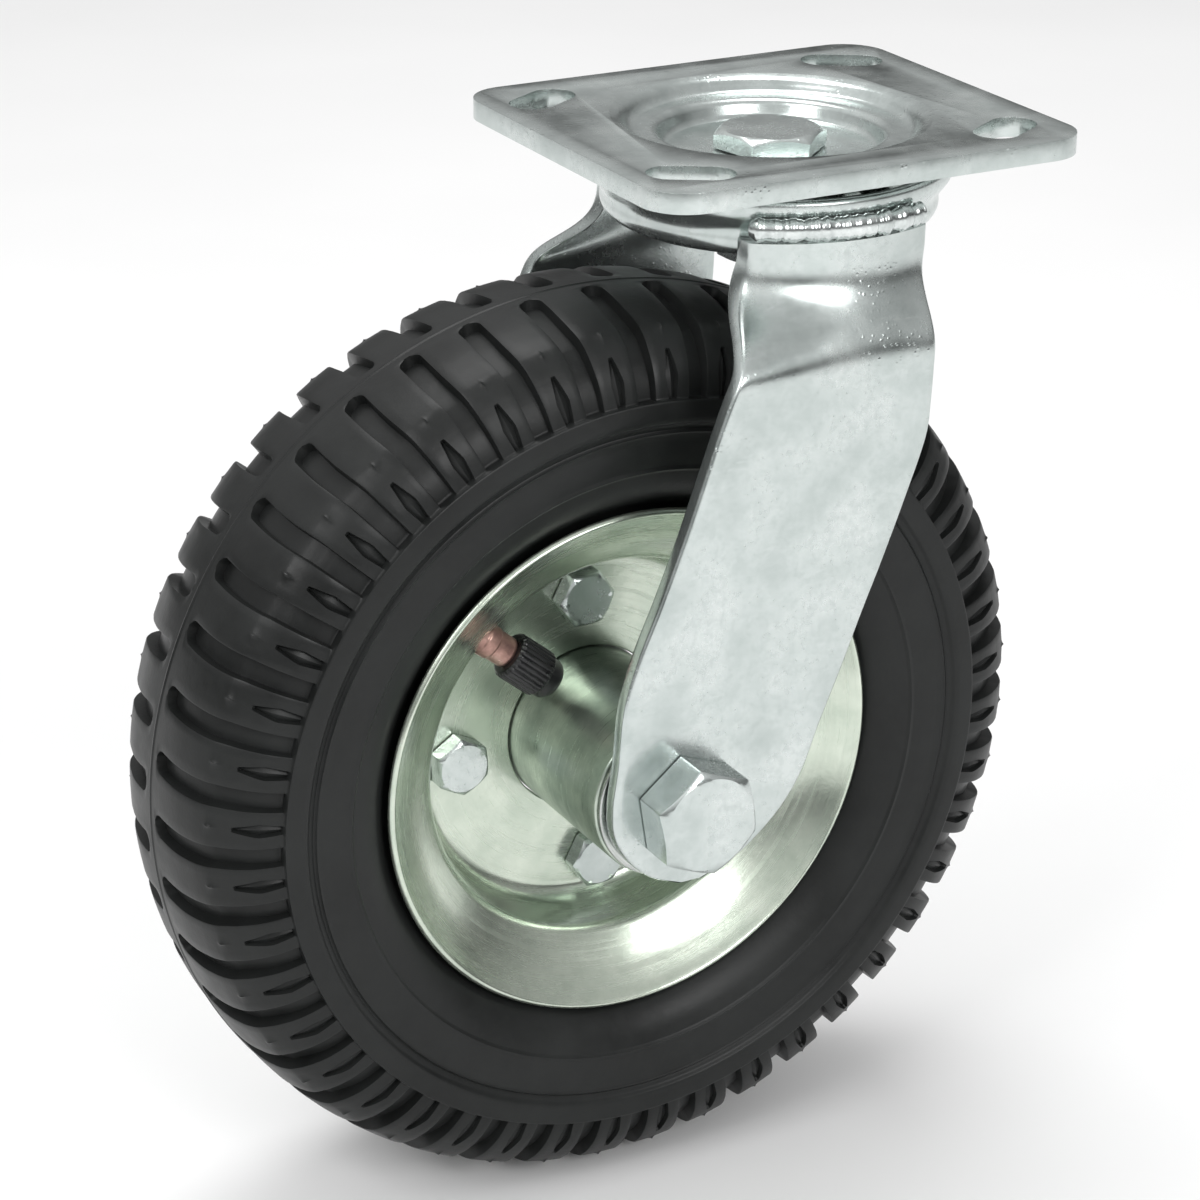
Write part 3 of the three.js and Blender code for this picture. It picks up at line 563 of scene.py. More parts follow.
def hexagon(flats, corner=0.5, arc=4, side=8):
    """Outline of a hexagon with slightly rounded corners, its first corner on +X."""
    outer = flats / math.sqrt(3)
    spots = [Vector((outer * math.cos(TURN * i / 6), outer * math.sin(TURN * i / 6))) for i in range(6)]
    points = []
    for i, spot in enumerate(spots):
        bend = eased_corner(spots[i - 1], spot, spots[(i + 1) % 6], corner, arc)
        points.extend(bend)
        start = bend[-1]
        end = spots[(i + 1) % 6] + (spot - spots[(i + 1) % 6]).normalized() * corner
        points.extend(start.lerp(end, k / side) for k in range(1, side))
    return points


def hex_piece(name, flats, height, bore=0.0, place=None, chamfer_both=False):
    """A bolt head or nut along +Y from its seat, with the round chamfer that a lathe leaves."""
    outline = hexagon(flats)
    face_r = flats / 2 - 0.35
    slope = math.tan(math.radians(30))
    ease = 0.22

    def ring(grow, level_at):
        points = []
        for p in outline:
            reach = p * (1 + grow / p.length)
            points.append((reach.x, level_at(max(p.length - face_r, 0) * slope), reach.y))
        return points

    def circle(radius, level):
        return [(p.x / p.length * radius, level, p.y / p.length * radius) for p in outline]

    low = (lambda drop: drop) if chamfer_both else (lambda drop: 0)
    rings = [
        circle(bore, 0.0),
        circle(face_r - 1.2, 0.0),
        circle(face_r - 0.2, 0.0),
        ring(-ease, lambda drop: low(drop) + 0.02),
        ring(0, lambda drop: low(drop) + ease),
        ring(0, lambda drop: height - drop - ease),
        ring(-ease, lambda drop: height - drop + 0.02),
        circle(face_r - 0.1, height),
        circle(face_r - 1.2, height),
        circle(bore + (0.9 if bore else 0), height),
        circle(bore, height - (0.7 if bore else 0)),
    ]
    return loft(name, rings, place)


def threaded(name, radius, pitch, start, end, place, columns=64, steps=8):
    """A threaded stud along +Y with a chamfered end."""
    rows = int((end - start) / pitch * steps)
    depth = 0.54 * pitch
    rings = [[(0, start, 0)] * columns]
    for row in range(rows + 1):
        level = start + (end - start) * row / rows
        ring = []
        for k in range(columns):
            angle = TURN * k / columns
            phase = (level / pitch - angle / TURN) % 1
            tooth = abs(2 * phase - 1)
            r = min(radius - depth * tooth, radius - pitch * 0.7 + (end - level))
            ring.append((r * math.cos(angle), level, r * math.sin(angle)))
        rings.append(ring)
    rings.append([(0, end, 0)] * columns)
    return loft(name, rings, place)


def joined(name, *parts):
    """Joins objects into one mesh object without welding them."""
    build = bmesh.new()
    for part in parts:
        build.from_mesh(part.data)
        bpy.data.objects.remove(part)
    mesh = bpy.data.meshes.new(name)
    build.to_mesh(mesh)
    build.free()
    made = bpy.data.objects.new(name, mesh)
    bpy.context.scene.collection.objects.link(made)
    return made


def facing(side, turn_degrees=0.0):
    """Turns something built along +Y to point to one side, its corners turned about Y."""
    turn = Matrix.Rotation(math.radians(-turn_degrees), 4, "Y")
    over = Matrix.Rotation(math.pi, 4, "X") if side < 0 else Matrix.Identity(4)
    return turn @ over


# ---- top plate and kingpin ----

PLATE_LOW, PLATE_HIGH = box_mm("top_plate")
PLATE_THICK = 4.8
PLATE_CORNER = 11.0
SLOT_INSET = 15.08
SLOT_WIDTH = 11.1
SLOT_RUN = 9.26
SLOT_TILT = 31.0
BOLT_R = 8.0
HEX_FLATS = 24.0
COARSE_PITCH = 2.0
KINGPIN_SEAT = -7.9
KINGPIN_TURN = 18.6


def stadium(centre, run, width, tilt):
    """Outline of a slot with round ends."""
    along = Vector((math.cos(tilt), math.sin(tilt)))
    points = []
    for end, start in ((1, tilt - math.pi / 2), (-1, tilt + math.pi / 2)):
        middle = centre + along * (end * run / 2)
        for i in range(25):
            angle = start + math.pi * i / 24
            points.append(middle + Vector((math.cos(angle), math.sin(angle))) * width / 2)
    return points


def rounded_rectangle(half_x, half_y, corner):
    points = []
    for i, (sx, sy) in enumerate(((1, 1), (-1, 1), (-1, -1), (1, -1))):
        centre = Vector(((half_x - corner) * sx, (half_y - corner) * sy))
        for k in range(17):
            angle = math.pi / 2 * (i + k / 16)
            points.append(centre + Vector((math.cos(angle), math.sin(angle))) * corner)
    return points


def prism(name, outline, low, high):
    count = len(outline)
    points = [(p.x, p.y, level) for level in (low, high) for p in outline]
    faces = [(i, (i + 1) % count, count + (i + 1) % count, count + i) for i in range(count)]
    faces += [tuple(range(count)), tuple(range(count, 2 * count))]
    return make_object(name, points, faces)


def build_top_plate():
    plate = prism("plate", rounded_rectangle(PLATE_HIGH.x, PLATE_HIGH.y, PLATE_CORNER), -PLATE_THICK, 0)
    for sx in (1, -1):
        for sy in (1, -1):
            centre = Vector(((PLATE_HIGH.x - SLOT_INSET) * sx, (PLATE_HIGH.y - SLOT_INSET) * sy))
            outline = stadium(centre, SLOT_RUN, SLOT_WIDTH, -math.radians(SLOT_TILT) * sx * sy)
            cut(plate, prism("slot", outline, -PLATE_THICK - 2, 2))
    soften(plate, 0.7)
    boss = turned("boss", [
        (0, PLATE_LOW.z), (30.4, PLATE_LOW.z, 1.6), (31, -8.3, 1.2), (37.3, -8.3, 2.2),
        (39.5, -4.0), (39.5, -2.0), (0, -2.0),
    ], UPRIGHT)
    cut(plate, boss, operation="UNION")
    bowl = turned("bowl", [
        (0, -8.2), (25.6, -8.2, 1.6), (26.8, -4.4, 0.8), (28.1, -3.6, 1.4), (33.8, -3.7, 1.6),
        (35.5, -0.9, 1.3), (38.4, 0.06, 1.5), (40, 0.6), (40, 4), (0, 4),
    ], UPRIGHT)
    cut(plate, bowl)
    cut(plate, turned("bore", plain_rod(BOLT_R + CLEARANCE, -20, 5), UPRIGHT))
    return finished(plate, "plate", "zinc", ZINC, "top_plate", angle=30)


def build_kingpin():
    low, high = box_mm("kingpin_bolt")
    nut_low, nut_high = box_mm("kingpin_nut")
    place = Matrix.Translation((0, 0, KINGPIN_SEAT)) @ UPRIGHT @ facing(1, KINGPIN_TURN)
    head = hex_piece("head", HEX_FLATS, high.z - KINGPIN_SEAT, place=place)
    shank = turned("shank", plain_rod(BOLT_R, KINGPIN_SEAT - 12, KINGPIN_SEAT + 0.5), UPRIGHT, SMALL_TURN)
    hang = Matrix.Rotation(-math.pi / 2, 4, "X")
    stud = threaded("stud", BOLT_R, COARSE_PITCH, 12 - KINGPIN_SEAT - 0.5, -low.z, hang)
    bolt = joined("kingpin_bolt_piece", head, shank, stud)
    finished(bolt, "plate", "zinc", ZINC, "kingpin_bolt")
    seat = Matrix.Translation((0, 0, nut_low.z)) @ UPRIGHT
    nut = hex_piece("kingpin_nut_piece", HEX_FLATS, nut_high.z - nut_low.z, BOLT_R + CLEARANCE, seat, True)
    finished(nut, "plate", "zinc", ZINC, "kingpin_nut")


def build_swivel_races():
    low, high = box_mm("lower_race")
    race_r = high.x
    track = high.z - 3.2
    race = turned("lower_race_piece", [
        (BOLT_R + CLEARANCE, low.z, 0.3), (race_r - 2.8, low.z, 1.4), (race_r, low.z + 2.4, 1.4),
        (race_r, high.z, 0.7), (race_r - 2.4, high.z, 0.8), (race_r - 3.4, track, 1.2),
        (BOLT_R + CLEARANCE, track, 0.3),
    ], UPRIGHT)
    finished(race, "plate", "bearing_steel", STEEL, "lower_race")
    for node, count in (("upper_ball_ring", 16), ("lower_ball_ring", 12)):
        low, high = box_mm(node)
        ball_r = (high.z - low.z) / 2
        pitch_r = high.x - ball_r
        balls = ball_ring(node + "_piece", count, ball_r, pitch_r)
        place = Matrix.Translation((0, 0, (low.z + high.z) / 2)) @ UPRIGHT
        move_mesh(balls, place)
        finished(balls, "swivel_balls", "bearing_steel", STEEL, node)


def ball_ring(name, count, ball_r, pitch_r):
    """One ball with its stretch of cage, copied round the Y axis."""
    bends = [math.pi * i / 16 for i in range(1, 16)]
    profile = [(0, -ball_r)]
    profile += [(ball_r * math.sin(bend), -ball_r * math.cos(bend)) for bend in bends]
    profile += [(0, ball_r)]
    ball = turned("ball", profile, Matrix.Translation((pitch_r, 0, 0)), turns=32)
    rings = []
    for i in range(9):
        angle = TURN / count * (i / 8 - 0.5)
        c, s = math.cos(angle), math.sin(angle)
        inner, outer = pitch_r - ball_r * 0.3, pitch_r + ball_r * 0.3
        level = ball_r * 0.28
        rings.append([(r * c, y, r * s) for r, y in
                      ((inner, -level), (outer, -level), (outer, level), (inner, level))])
    cage = make_object("cage", [p for ring in rings for p in ring], quads(9, 4, False, True))
    one = joined(name, ball, cage)
    return grown(one, RING_OF_COPIES, {"Count": count, "First Turn": 0.0, "Finish": STEEL})


# ---- fork ----

CROWN_LOW, CROWN_HIGH = box_mm("fork_crown")
CROWN_LIP_R = CROWN_HIGH.x
CROWN_R = CROWN_LIP_R - 3.1
CROWN_BORE = 12.5
CROWN_FLOOR_TOP, CROWN_FLOOR_LOW = -14.9, -17.9
LEG_THICK = 4.5
LEG_FACE_Y = -box_mm("leg_near")[0].y
HUG_ENDS = 23.5
FLAT_STARTS = 47.5
# Each station is depth below the plate, reach behind the swivel axis, reach in front.
LEG_STATIONS = [
    (18.3, 27, 17.5), (24, 27.2, 17.3), (30, 29.2, 16), (37, 33.2, 15), (46, 38.6, 14.4), (57, 43.1, 13.9),
    (66, 46.3, 12.9), (80, 51.4, 8), (95, 57.4, 2.2), (108, 63, -3.2), (120, 66.6, -7.9), (134, 67.9, -13.8),
    (144, 69.2, -17.6), (152, 68.6, -22.4), (159, 64.8, -29.3), (164.2, 59, -36.8), (167.1, 52, -45),
]
LEG_ROWS = 120
LEG_COLUMNS = 22


def build_crown():
    top, bottom = CROWN_HIGH.z, CROWN_LOW.z
    inside = CROWN_LIP_R - 3.2
    crown = turned("fork_crown_piece", [
        (CROWN_BORE, CROWN_FLOOR_TOP, 0.4), (inside - 3.2, CROWN_FLOOR_TOP, 1.6), (inside, -12.5, 1.8),
        (inside, top, 0.9),
        (CROWN_LIP_R, top, 1.3), (CROWN_LIP_R, top - 3.5, 1.4), (CROWN_R - 0.3, top - 8, 1.6),
        (CROWN_R, top - 11.2, 1.6), (CROWN_R - 1.1, bottom + 1.3, 1.4), (CROWN_R - 3.4, bottom, 1.4),
        (CROWN_R - 5.5, bottom, 0.8), (CROWN_R - 4.2, bottom + 3.4, 1.4), (CROWN_R - 4.2, -19, 1.4),
        (CROWN_R - 5.6, CROWN_FLOOR_LOW, 1.4), (CROWN_BORE, CROWN_FLOOR_LOW, 0.4),
    ], UPRIGHT)
    finished(crown, "fork", "zinc", ZINC, "fork_crown")


def smooth_step(start, end, value):
    t = min(max((value - start) / (end - start), 0), 1)
    return t * t * (3 - 2 * t)


def curve_through(points, count):
    """Evenly shared samples of a smooth curve through (x, depth) points."""
    knots = [points[0] * 2 - points[1], *points, points[-1] * 2 - points[-2]]
    samples = []
    spans = len(points) - 1
    for i in range(count + 1):
        place = min(i / count * spans, spans - 1e-6)
        k = int(place)
        t = place - k
        a, b, c, d = knots[k:k + 4]
        samples.append(0.5 * (2 * b + (c - a) * t + (2 * a - 5 * b + 4 * c - d) * t * t
                              + (3 * b - a - 3 * c + d) * t ** 3))
    return samples


def leg_face(x, depth, hug_r, flat_y):
    """Distance from the middle plane: round the crown at the top, easing to flat lower down."""
    hug = math.sqrt(max(hug_r * hug_r - x * x, 0))
    t = min(max((depth - HUG_ENDS) / (FLAT_STARTS - HUG_ENDS), 0), 1)
    share = t ** 3 * (10 - 15 * t + 6 * t * t)
    return hug * (1 - share) + flat_y * share


def leg_section(edge_round=1.0, arc=4):
    """Loop round the leg's section: (share across, shift along x, share outwards, shift outwards)."""
    outer = [(k / LEG_COLUMNS, 0, 1, 0) for k in range(1, LEG_COLUMNS)]
    inner = [(share, 0, 0, 0) for share, _, _, _ in reversed(outer)]

    def corner(share, towards, out, start):
        points = []
        for i in range(arc + 1):
            angle = start + math.pi / 2 * i / arc
            shift = edge_round * (1 - abs(math.cos(angle))) * towards
            lift = edge_round * (1 - abs(math.sin(angle))) * (-1 if out else 1)
            points.append((share, shift, out, lift))
        return points

    return (corner(0, 1, 1, 0) + outer + corner(1, -1, 1, math.pi / 2)
            + corner(1, -1, 0, 0) + inner + corner(0, 1, 0, math.pi / 2))


def build_leg(word, side):
    back = curve_through([Vector((-s[1], s[0])) for s in LEG_STATIONS], LEG_ROWS)
    front = curve_through([Vector((s[2], s[0])) for s in LEG_STATIONS], LEG_ROWS)
    section = leg_section()
    rings = []
    for row in range(LEG_ROWS + 1):
        ring = []
        for share, shift, out, lift in section:
            spot = back[row].lerp(front[row], share)
            spot.x += shift
            hug_r = CROWN_R + CLEARANCE + LEG_THICK * out
            face = leg_face(spot.x, spot.y, hug_r, LEG_FACE_Y - LEG_THICK * (1 - out))
            ring.append((spot.x, side * (face + lift), -spot.y))
        rings.append(ring)
    count = len(section)
    points = [p for ring in rings for p in ring]
    faces = quads(LEG_ROWS + 1, count, False, True)
    last = LEG_ROWS * count
    faces += [tuple(range(count)), tuple(range(last, last + count))]
    leg = make_object(f"leg_{word}_piece", points, faces)
    reach = LEG_FACE_Y + 5
    cut(leg, turned("hole", plain_rod(BOLT_R + CLEARANCE, -reach, reach), ON_AXLE, SMALL_TURN))
    finished(leg, "fork", "zinc", ZINC, f"leg_{word}")


def build_weld_bead(word, side):
    low, high = box_mm(f"weld_bead_{word}")
    half_width = 2.2
    start, sweep = math.radians(69), math.radians(58)
    blank = make_object(f"weld_bead_{word}_piece", [(0, 0, 0), (1, 0, 0), (0, 1, 0)], [(0, 1, 2)])
    grown(blank, WELD_BEAD, {
        "Path Radius": (CROWN_LIP_R + half_width - 0.8) * MM,
        "Half Width": half_width * MM,
        "Half Height": (high.z - low.z) / 2 * MM,
        "Start": start if side > 0 else -start - sweep,
        "Sweep": sweep,
        "Height": (low.z + high.z) / 2 * MM,
        "Ripples": 60.0,
        "Seed": 3.0 + side,
        "Finish": WELD,
    })
    finished(blank, "fork", "weld", WELD, f"weld_bead_{word}", angle=60)


# ---- axle, hub and bearings ----

HUB_R = turned_radius("hub_tube")
HUB_HALF = box_mm("hub_tube")[1].y
HUB_BORE_R = HUB_R - 2.9
SLEEVE_R = turned_radius("bearing_inner_race_far")
FLANGE_R = turned_radius("bearing_outer_race_far")
AXLE_BOLT_TURN = 39.2


def build_axle_bolt():
    low, high = box_mm("axle_bolt")
    seat = LEG_FACE_Y + CLEARANCE
    place = ON_AXLE @ facing(-1, AXLE_BOLT_TURN) @ Matrix.Translation((0, seat, 0))
    head = hex_piece("head", HEX_FLATS, -low.y - seat, place=place)
    shank = turned("shank", plain_rod(BOLT_R, -seat - 1, seat), ON_AXLE, SMALL_TURN)
    stud = threaded("stud", BOLT_R, COARSE_PITCH, seat, high.y, ON_AXLE)
    bolt = joined("axle_bolt_piece", head, shank, stud)
    finished(bolt, "fork", "zinc", ZINC, "axle_bolt")


def build_axle_nut():
    low, high = box_mm("axle_nut")
    place = ON_AXLE @ Matrix.Translation((0, low.y, 0))
    nut = hex_piece("axle_nut_piece", HEX_FLATS, high.y - low.y, BOLT_R + CLEARANCE, place)
    finished(nut, "fork", "zinc", ZINC, "axle_nut")


def build_hub_tube():
    tube = turned("hub_tube_piece", [
        (HUB_BORE_R, -HUB_HALF, 0.3), (HUB_R, -HUB_HALF, 0.8), (HUB_R, HUB_HALF, 0.8),
        (HUB_BORE_R, HUB_HALF, 0.3),
    ], ON_AXLE)
    finished(tube, "wheel", "rim_zinc", HUB_ZINC, "hub_tube")


def build_bearing(word, side):
    low, high = box_mm("bearing_outer_race_far")
    bore, seat = 15.2, HUB_BORE_R - CLEARANCE
    flange = HUB_HALF + CLEARANCE
    race = turned(f"bearing_outer_race_{word}_piece", flipped([
        (bore, low.y, 0.3), (seat, low.y, 0.5), (seat, flange, 0.1), (FLANGE_R, flange, 0.2),
        (FLANGE_R, high.y, 0.5), (bore + 1.4, high.y, 0.4), (bore + 1.0, high.y - 0.4, 0.2),
        (bore, high.y - 0.4, 0.2),
    ], side), ON_AXLE)
    finished(race, "wheel", "bearing_steel", STEEL, f"bearing_outer_race_{word}")
    low, high = box_mm("bearing_inner_race_far")
    inner = turned(f"bearing_inner_race_{word}_piece", flipped([
        (BOLT_R + CLEARANCE, low.y, 0.3), (SLEEVE_R, low.y, 0.4), (SLEEVE_R, high.y, 0.4),
        (BOLT_R + CLEARANCE, high.y, 0.3),
    ], side), ON_AXLE, turns=SMALL_TURN)
    finished(inner, "fork", "bearing_steel", STEEL, f"bearing_inner_race_{word}")
    low, high = box_mm("bearing_shield_far")
    outer = turned_radius("bearing_shield_far")
    shield = turned(f"bearing_shield_{word}_piece", flipped([
        (SLEEVE_R + CLEARANCE, low.y), (outer, low.y), (outer, high.y, 0.3), (outer - 0.9, high.y, 0.3),
        (outer - 1.3, high.y - 0.25, 0.2), (SLEEVE_R + 0.7, high.y - 0.25, 0.2),
        (SLEEVE_R + CLEARANCE, high.y - 0.3),
    ], side), ON_AXLE, turns=SMALL_TURN)
    finished(shield, "wheel", "bearing_steel", STEEL, f"bearing_shield_{word}")


# ---- rim ----

RIM_LIP_R = turned_radius("rim_half_far")
RIM_LIP_Y = box_mm("rim_half_far")[1].y
SHEET = 1.85
RIM_BOLTS = 4
RIM_BOLT_R = 4.0
RIM_BOLT_FLATS = 13.0
RIM_BOLT_PITCH = 1.25
RIM_BOLT_CIRCLE = 35.6
RIM_BOLT_FIRST = math.radians(3)
VALVE_HOLE_R = 4.3


def rim_profile():
    """Visible side from the hub hole to the rolled lip, then the hidden side back again."""
    lip_r, lip_y = RIM_LIP_R, RIM_LIP_Y
    visible = [
        (HUB_R + CLEARANCE, SHEET + 0.15, 0.4), (43.6, SHEET + 0.15, 2.4), (46.4, 4.6, 3),
        (48.3, 15.6, 3), (51.6, 17.9, 3), (56.4, 20.9, 4), (lip_r - 3.6, lip_y - 2.4, 2),
        (lip_r - 1.3, lip_y, 0.7),
    ]
    hidden = [
        (lip_r, lip_y - 1.3, 0.7), (lip_r - 2.3, lip_y - 3.7, 1.5), (57.6, 19.3, 3), (53, 16.5, 2),
        (50.1, 14.7, 2), (48.3, 4.2, 2), (44.6, 0.15, 2), (HUB_R + CLEARANCE, 0.15, 0.2),
    ]
    return visible + hidden


def valve_place():
    """Matrix that puts something built along Y, outwards from the hub, on the valve's slanted axis."""
    angle, lean, outward = math.radians(134), math.radians(141), math.radians(9)
    base = Vector((47.5 * math.cos(angle), -13.2, 47.5 * math.sin(angle)))
    return (ON_AXLE @ Matrix.Translation(base) @ Matrix.Rotation(-lean, 4, "Y")
            @ Matrix.Rotation(outward, 4, "Z") @ Matrix.Rotation(-math.pi / 2, 4, "Z"))


def build_rim_half(word, side):
    rim = turned(f"rim_half_{word}_piece", flipped(rim_profile(), side), ON_AXLE)
    for i in range(RIM_BOLTS):
        angle = RIM_BOLT_FIRST + TURN * i / RIM_BOLTS
        spot = Matrix.Translation((RIM_BOLT_CIRCLE * math.cos(angle), 0, RIM_BOLT_CIRCLE * math.sin(angle)))
        cut(rim, turned("hole", plain_rod(RIM_BOLT_R + CLEARANCE, -9, 9), ON_AXLE @ spot, 32))
    if side < 0:
        cut(rim, turned("hole", plain_rod(VALVE_HOLE_R, -8, 27), valve_place(), 48))
    finished(rim, "wheel", "rim_zinc", RIM_ZINC, f"rim_half_{word}", angle=34)


def build_rim_bolts():
    low, high = box_mm("rim_bolt_1")
    seat = SHEET + 0.45
    shift = Matrix.Translation((RIM_BOLT_CIRCLE, 0, 0))
    copies = {"Count": RIM_BOLTS, "First Turn": -RIM_BOLT_FIRST, "Finish": ZINC}
    place = shift @ facing(-1, 30) @ Matrix.Translation((0, seat, 0))
    head = hex_piece("head", RIM_BOLT_FLATS, -low.y - seat, place=place)
    shank = turned("shank", plain_rod(RIM_BOLT_R, -seat - 0.5, seat), shift, 32)
    stud = threaded("stud", RIM_BOLT_R, RIM_BOLT_PITCH, seat, high.y, shift, columns=36)
    bolts = joined("rim_bolts_piece", head, shank, stud)
    grown(bolts, RING_OF_COPIES, copies, ON_AXLE)
    finished(bolts, "wheel", "zinc", ZINC, *[f"rim_bolt_{i + 1}" for i in range(RIM_BOLTS)])
    low, high = box_mm("rim_nut_1")
    nuts = hex_piece("rim_nuts_piece", RIM_BOLT_FLATS, high.y - low.y, RIM_BOLT_R + CLEARANCE,
                     shift @ facing(1, 30) @ Matrix.Translation((0, low.y, 0)), True)
    grown(nuts, RING_OF_COPIES, copies, ON_AXLE)
    finished(nuts, "wheel", "zinc", ZINC, *[f"rim_nut_{i + 1}" for i in range(RIM_BOLTS)])


# ---- tyre ----

TYRE_R = turned_radius("tyre")
TYRE_HALF = box_mm("tyre")[1].y
TYRE_RISE = (TYRE_R - 60.1) / 2
TYRE_POWER = 2.72
LUGS = 44
FIRST_GROOVE = 123.0
WALL = 0.35
GROOVE_HALF = 1.45
HOOK_AT = 2.6
HOOK_ROUND = 2.6
SHOULDER_AT = 23.6
FLOOR_CREASE_AT = 27.2
SIPE_START, SIPE_WIDEST, RING_START = 29.8, 36.0, 41.6
RING_END = 47.8


def section_point(angle):
    """Point of the tyre's outside section at an angle about the section's own centre."""
    def shaped(value):
        return math.copysign(abs(value) ** (2 / TYRE_POWER), value)
    radius = TYRE_R - TYRE_RISE + TYRE_RISE * shaped(math.sin(angle))
    return Vector((radius, TYRE_HALF * shaped(math.cos(angle))))


def outside_section():
    """The outside from the middle of the tread to the bead: (distance along it, point, outward direction)."""
    angles = [math.radians(90 - 142 * i / 2400) for i in range(2401)]
    points = [section_point(a) for a in angles]
    points[0].y = 0.0
    samples = []
    run = 0.0
    for i in range(1, len(points) - 1):
        run += (points[i] - points[i - 1]).length
        along = (points[i + 1] - points[i - 1]).normalized()
        samples.append((run, points[i], Vector((along.y, -along.x))))
    return samples


def spread(start, end, step):
    count = max(1, round((end - start) / step))
    return [start + (end - start) * i / count for i in range(count)]


def tread_rows(total):
    """Distances from the tread's middle to the bead, closer together where the shape turns."""
    stretches = [
        (1.0, 0.25), (HOOK_AT, 0.8), (HOOK_AT + HOOK_ROUND, 0.33), (SHOULDER_AT - 1.6, 1.9),
        (SHOULDER_AT + 1.6, 0.46), (SIPE_START, 1.0), (SIPE_START + 1.4, 0.35), (RING_START - 0.4, 1.2),
        (RING_START + 1.2, 0.27), (RING_END - 0.8, 1.3), (RING_END + 2.6, 0.34), (58.0, 1.8), (60.0, 0.34),
        (total, 2.2),
    ]
    rows, start = [], 0
    for end, step in stretches:
        rows += spread(start, end, step)
        start = end
    return [*rows, total]


def hump(value, centre, half):
    """1 at the centre, falling smoothly to 0 at half a width away."""
    t = abs(value - centre) / half
    return 0.0 if t >= 1 else 0.5 + 0.5 * math.cos(math.pi * t)


def plain_rise(run):
    """What is raised all the way round: mould line, shoulder crease, ring, and the two lines of the side."""
    rise = 0.22 * hump(run, 0, 0.6)
    rise += 0.45 * max(0.0, 1 - abs(run - SHOULDER_AT) / 7)
    ring = smooth_step(RING_START, RING_START + 0.5, run)
    ring *= 1 - smooth_step(RING_END - 1.2, RING_END + 0.6, run)
    rise += 1.2 * ring - 0.35 * hump(run, RING_END + 1.3, 0.7)
    rise += 0.35 * hump(run, RING_END + 2.0, 0.5) + 0.4 * hump(run, 59.0, 0.8)
    return rise


def groove_half(run):
    """Half width of a groove in degrees, closing in a round hook beside the middle of the tread."""
    into = (run - HOOK_AT) / HOOK_ROUND
    if into <= 0 or run > RING_START + 0.3:
        return 0.0
    return GROOVE_HALF * math.sqrt(max(1 - (1 - min(into, 1)) ** 2, 0))


def groove_depth(run):
    if run <= FLOOR_CREASE_AT:
        return 2.4 + 0.8 * run / FLOOR_CREASE_AT
    return 3.2 - 1.1 * (run - FLOOR_CREASE_AT) / (RING_START - FLOOR_CREASE_AT)


def groove_wave(run):
    return 0.42 * math.sin((run - 6) / 20 * math.pi) if run < 26 else 0.0


def sipe_half(run):
    """Half width of the pocket in the middle of each block, in millimetres."""
    if run <= SIPE_START or run > RING_START + 0.3:
        return 0.0
    if run < SIPE_WIDEST:
        return 0.55 + 1.15 * (run - SIPE_START) / (SIPE_WIDEST - SIPE_START)
    return 1.7 - 0.65 * (run - SIPE_WIDEST) / (RING_START - SIPE_WIDEST)


def block_columns(run, radius):
    """(angle from the block's middle in degrees, height) across one block and half a groove each side."""
    half_pitch = 180 / LUGS
    degree = math.radians(1) * radius
    groove = groove_half(run)
    edge = max(groove, 0.35)
    floor_edge = max(edge - WALL / degree, 0.2)
    depth = groove_depth(run) if groove > 0.3 else 0.0
    sipe = sipe_half(run)
    sipe_edge = max(sipe, 0.5) / degree
    pocket = 1.25 if sipe > 0 and run < RING_START + 0.1 else 0.0
    vent = hump(run, SHOULDER_AT + 0.8, 1.7) * 0.55
    rise = plain_rise(run)
    right = [
        (0.0, -0.6 * pocket + vent),
        (sipe_edge - 0.3 / degree, -pocket + vent * 0.6),
        (sipe_edge, vent * 0.4),
        (sipe_edge + 0.35 / degree, vent * 0.15),
        ((sipe_edge + half_pitch - edge) / 2, 0.0),
        (half_pitch - edge - 0.4 / degree, 0.0),
        (half_pitch - edge, -0.14 if depth else 0.0),
        (half_pitch - floor_edge, -depth),
        (half_pitch - floor_edge * 0.5, -depth),
        (half_pitch, -depth),
    ]
    wave = groove_wave(run)

    def bend(a):
        return wave * min(1, (a / half_pitch) ** 2 * 1.4) if a < half_pitch else wave

    left = [(-a + bend(a), rise + h) for a, h in reversed(right)]
    return left + [(a + bend(a), rise + h) for a, h in right[1:]]


def inside_section():
    """From the bead's toe round the hollow to the middle plane."""
    spots = [(60, 20), (53.5, 15.8), (50.7, 14.2), (50.9, 11), (54.5, 11.2), (60.5, 13.4), (66, 19),
             (74, 24.6), (84, 25.6), (94, 23), (100, 15.5), (102.6, 8), (103.1, 0)]
    return [Vector(p) for p in spots]


def build_tread_wedge(name, side, middle):
    """One block of the tyre from the tread's middle to the bead and back inside, for one side."""
    samples = outside_section()
    total = samples[-1][0]
    points = []
    width = len(block_columns(10, TYRE_R))
    index = 0
    for run in tread_rows(total):
        while index < len(samples) - 1 and samples[index][0] < run:
            index += 1
        _, spot, outward = samples[index]
        if run == 0:
            spot, outward = Vector((TYRE_R, 0)), Vector((1, 0))
        for angle, height in block_columns(run, spot.x):
            place = spot + outward * height
            around = math.radians(middle + angle)
            points.append((place.x * math.cos(around), side * place.y, place.x * math.sin(around)))
    even = [angle for angle, _ in block_columns(0, TYRE_R)]
    for spot in inside_section():
        for angle in even:
            around = math.radians(middle + angle)
            points.append((spot.x * math.cos(around), side * spot.y, spot.x * math.sin(around)))
    return make_object(name, points, quads(len(points) // width, width, True, False))


